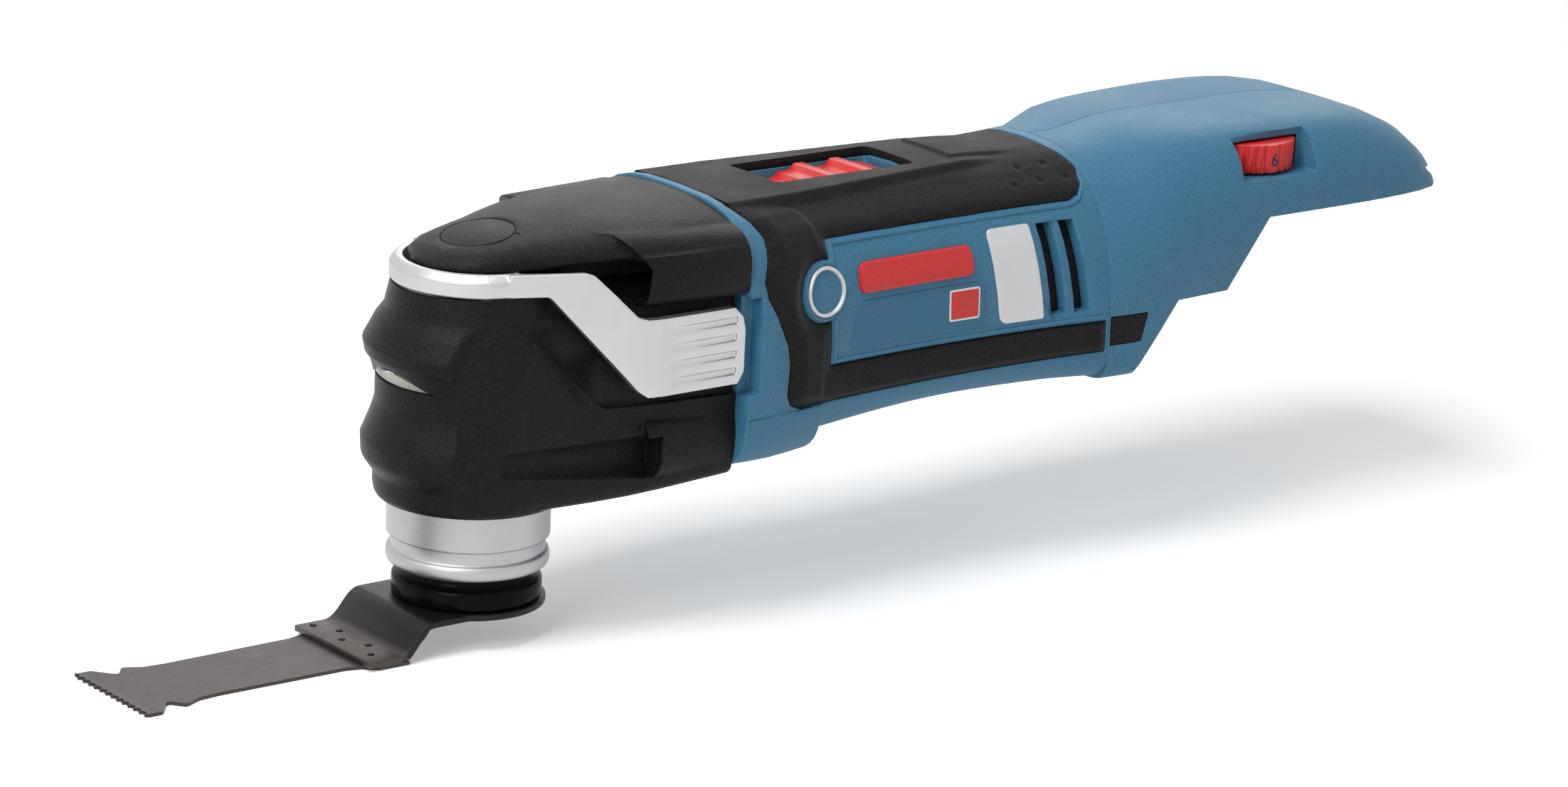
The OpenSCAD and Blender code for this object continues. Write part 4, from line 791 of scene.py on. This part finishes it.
low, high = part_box("blade_plate")
front, rear, top = low[0] / mm, high[0] / mm, high[2] / mm
lineX = front + saw["toothDeep"] + saw["stripMm"]
wide = saw["half"][0][1]
half = [(lineX, wide)] + [(front + x, y) for x, y in saw["half"]] + [(rear, wide)]
outline = half + [(x, -y) for x, y in reversed(half)]
shape = bmesh.new()
shape.faces.new([shape.verts.new(Vector((x, y, top)) * mm) for x, y in outline])
bmesh.ops.subdivide_edges(shape, edges=edgesAcross(shape, lineX), cuts=saw["teeth"] - 1)
roundFrom, roundTo = (front + x for x in saw["roundX"])
softened = [v for v in shape.verts if roundFrom < v.co.x / mm < roundTo]
bmesh.ops.bevel(
    shape, geom=softened, offset=saw["hookRound"] * mm, offset_type="OFFSET", affect="VERTICES",
    segments=saw["roundSteps"], profile=0.5, material=-1, clamp_overlap=True)
gullets = onlyVerts(bmesh.ops.extrude_edge_only(shape, edges=edgesAcross(shape, lineX))["geom"])
gullets.sort(key=lambda v: v.co.y)
bmesh.ops.translate(shape, verts=gullets, vec=(-saw["stripMm"] * mm, 0, 0))
tips = []
for near, far in zip(gullets, gullets[1:]):
    tip = shape.verts.new((front * mm, (near.co.y + far.co.y) / 2, top * mm))
    shape.faces.new((near, tip, far))
    tips.append(tip.co.y)
bottom = onlyVerts(bmesh.ops.extrude_face_region(shape, geom=shape.faces[:])["geom"])
bmesh.ops.translate(shape, verts=bottom, vec=(0, 0, -saw["thick"] * mm))
for vert in shape.verts:
    if vert.co.x < (front + saw["sameMm"]) * mm:
        turn = min(range(len(tips)), key=lambda k: abs(tips[k] - vert.co.y))
        vert.co.z += saw["setMm"] * mm * (turn % 2)
bmesh.ops.recalc_face_normals(shape, faces=shape.faces)
blade = addPiece("bladePlate", shape, "spindle", burnishedSteel, saw["smoothDeg"])
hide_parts("blade_plate")
print("blade cut:", saw["teeth"], "teeth")

# Five spot welds on the shank's front flat
welds = {"spots": [(-34.8, 13.7), (-31.7, 7.1), (-34.7, 1.5), (-31.6, -5.1), (-34.8, -11.0)],
         "z": -26.0, "radius": 0.9, "flatShare": 0.22, "around": 20, "upwards": 10, "smoothDeg": 50}
shape = bmesh.new()
for x, y in welds["spots"]:
    dome = bmesh.ops.create_uvsphere(
        shape, u_segments=welds["around"], v_segments=welds["upwards"], radius=welds["radius"] * mm)["verts"]
    bmesh.ops.scale(shape, verts=dome, vec=(1, 1, welds["flatShare"]))
    bmesh.ops.translate(shape, verts=dome, vec=(x * mm, y * mm, welds["z"] * mm))
addPiece("spotWelds", shape, "spindle", blackOxide, welds["smoothDeg"])
print("welds set")

# Lamps in metres and watts; what the world and the floor add to them
studio = {
    "lamps": {
        "keyLamp": {"spot": (-0.45, -0.1, 1.25), "aim": (0.1, 0, 0.04), "size": 0.6, "watts": 11.0},
        "fillLamp": {"spot": (-0.95, -0.45, 0.74), "aim": (0.05, 0, 0.04), "size": 0.4, "watts": 3.6},
        "rimLamp": {"spot": (0.8, 0.7, 0.8), "aim": (0.1, 0, 0.04), "size": 0.8, "watts": 2.5},
    },
    "white": "#FFFFFF", "worldLevel": 0.26, "floorSpan": 4.0, "floorLift": 0.32,
    "paperDark": "#F2F2F2", "paperLight": "#F7F7F7", "paperRough": 0.9, "fibreScale": 400.0,
}
for name, lamp in studio["lamps"].items():
    light = bpy.data.lights.new(name, "AREA")
    light.shape = "SQUARE"
    light.size = lamp["size"]
    light.energy = lamp["watts"]
    stand = bpy.data.objects.new(name, light)
    scene.collection.objects.link(stand)
    stand.location = Vector(lamp["spot"])
    stand.rotation_mode = "QUATERNION"
    stand.rotation_quaternion = (Vector(lamp["aim"]) - Vector(lamp["spot"])).to_track_quat("-Z", "Y")


def seenRays(tree):
    # 1 where the eye looks straight, by reflection or through the lens, 0 for light that falls on the part
    path = addNode(tree, "ShaderNodeLightPath")
    direct = addNode(tree, "ShaderNodeMath", {"operation": "MAXIMUM"}, {
        0: (path, "Is Camera Ray"), 1: (path, "Is Glossy Ray")})
    return addNode(tree, "ShaderNodeMath", {"operation": "MAXIMUM"}, {
        0: (direct, 0), 1: (path, "Is Transmission Ray")})


# White paper floor: it takes the shadow, and reads white to the eye and in reflections
floorMaterial, tree = newMaterial("whitePaper")
fibre = addNode(tree, "ShaderNodeTexNoise", None, {"Scale": studio["fibreScale"], "Detail": 4.0})
paper = addNode(tree, "ShaderNodeMix", {"data_type": "RGBA"}, {
    0: (fibre, 0), 6: linear(studio["paperDark"]), 7: linear(studio["paperLight"])})
lift = addNode(tree, "ShaderNodeMath", {"operation": "MULTIPLY"}, {
    0: (seenRays(tree), 0), 1: studio["floorLift"]})
shader = addNode(tree, "ShaderNodeBsdfPrincipled", None, {
    "Base Color": (paper, 2), "Roughness": studio["paperRough"],
    "Emission Color": linear(studio["white"]), "Emission Strength": (lift, 0)})
addNode(tree, "ShaderNodeOutputMaterial", None, {"Surface": (shader, 0)})
floorShape = bmesh.new()
bmesh.ops.create_grid(floorShape, x_segments=2, y_segments=2, size=studio["floorSpan"])
bmesh.ops.translate(floorShape, verts=floorShape.verts, vec=(0, 0, cadBounds[0].z))
floorMesh = bpy.data.meshes.new("paperFloor")
floorShape.to_mesh(floorMesh)
floorShape.free()
floorMesh.materials.append(floorMaterial)
floor = bpy.data.objects.new("paperFloor", floorMesh)
scene.collection.objects.link(floor)

world = bpy.data.worlds.new("studioWorld")
world.use_nodes = True
tree = world.node_tree
tree.nodes.clear()
level = addNode(tree, "ShaderNodeMapRange", None, {
    "Value": (seenRays(tree), 0), "To Min": studio["worldLevel"], "To Max": 1.0})
sky = addNode(tree, "ShaderNodeBackground", None, {"Color": linear(studio["white"]), "Strength": (level, 0)})
addNode(tree, "ShaderNodeOutputWorld", None, {"Surface": (sky, 0)})
scene.world = world
scene.view_settings.view_transform = "Standard"
print("studio lit")

# Camera: turn, rise and roll in degrees, focal length in pixels of a frame that wide,
# the frame's origin as the camera sees it in mm, and how near and far it sees in metres
shot = {"turn": -38.989, "rise": 16.296, "roll": 2.86, "focal": 8500.0, "width": 2500.0, "sensorMm": 36,
        "origin": (-75.843, 29.138, 1281.404), "near": 0.05, "far": 50}
turn, rise, roll = (math.radians(shot[key]) for key in ("turn", "rise", "roll"))
back = Vector((math.sin(turn) * math.cos(rise), -math.cos(turn) * math.cos(rise), math.sin(rise)))
right = (-back).cross(Vector((0, 0, 1))).normalized()
up = right.cross(-back)
rolledRight = right * math.cos(roll) + up * math.sin(roll)
rolledUp = up * math.cos(roll) - right * math.sin(roll)
x, y, z = (value * mm for value in shot["origin"])
cameraData = bpy.data.cameras.new("photoCamera")
cameraData.sensor_width = shot["sensorMm"]
cameraData.lens = shot["focal"] / shot["width"] * shot["sensorMm"]
cameraData.clip_start = shot["near"]
cameraData.clip_end = shot["far"]
camera = bpy.data.objects.new("photoCamera", cameraData)
camera.matrix_world = Matrix((rolledRight, rolledUp, back)).transposed().to_4x4()
camera.location = -(rolledRight * x - rolledUp * y - back * z)
scene.collection.objects.link(camera)
scene.camera = camera
print("camera set")
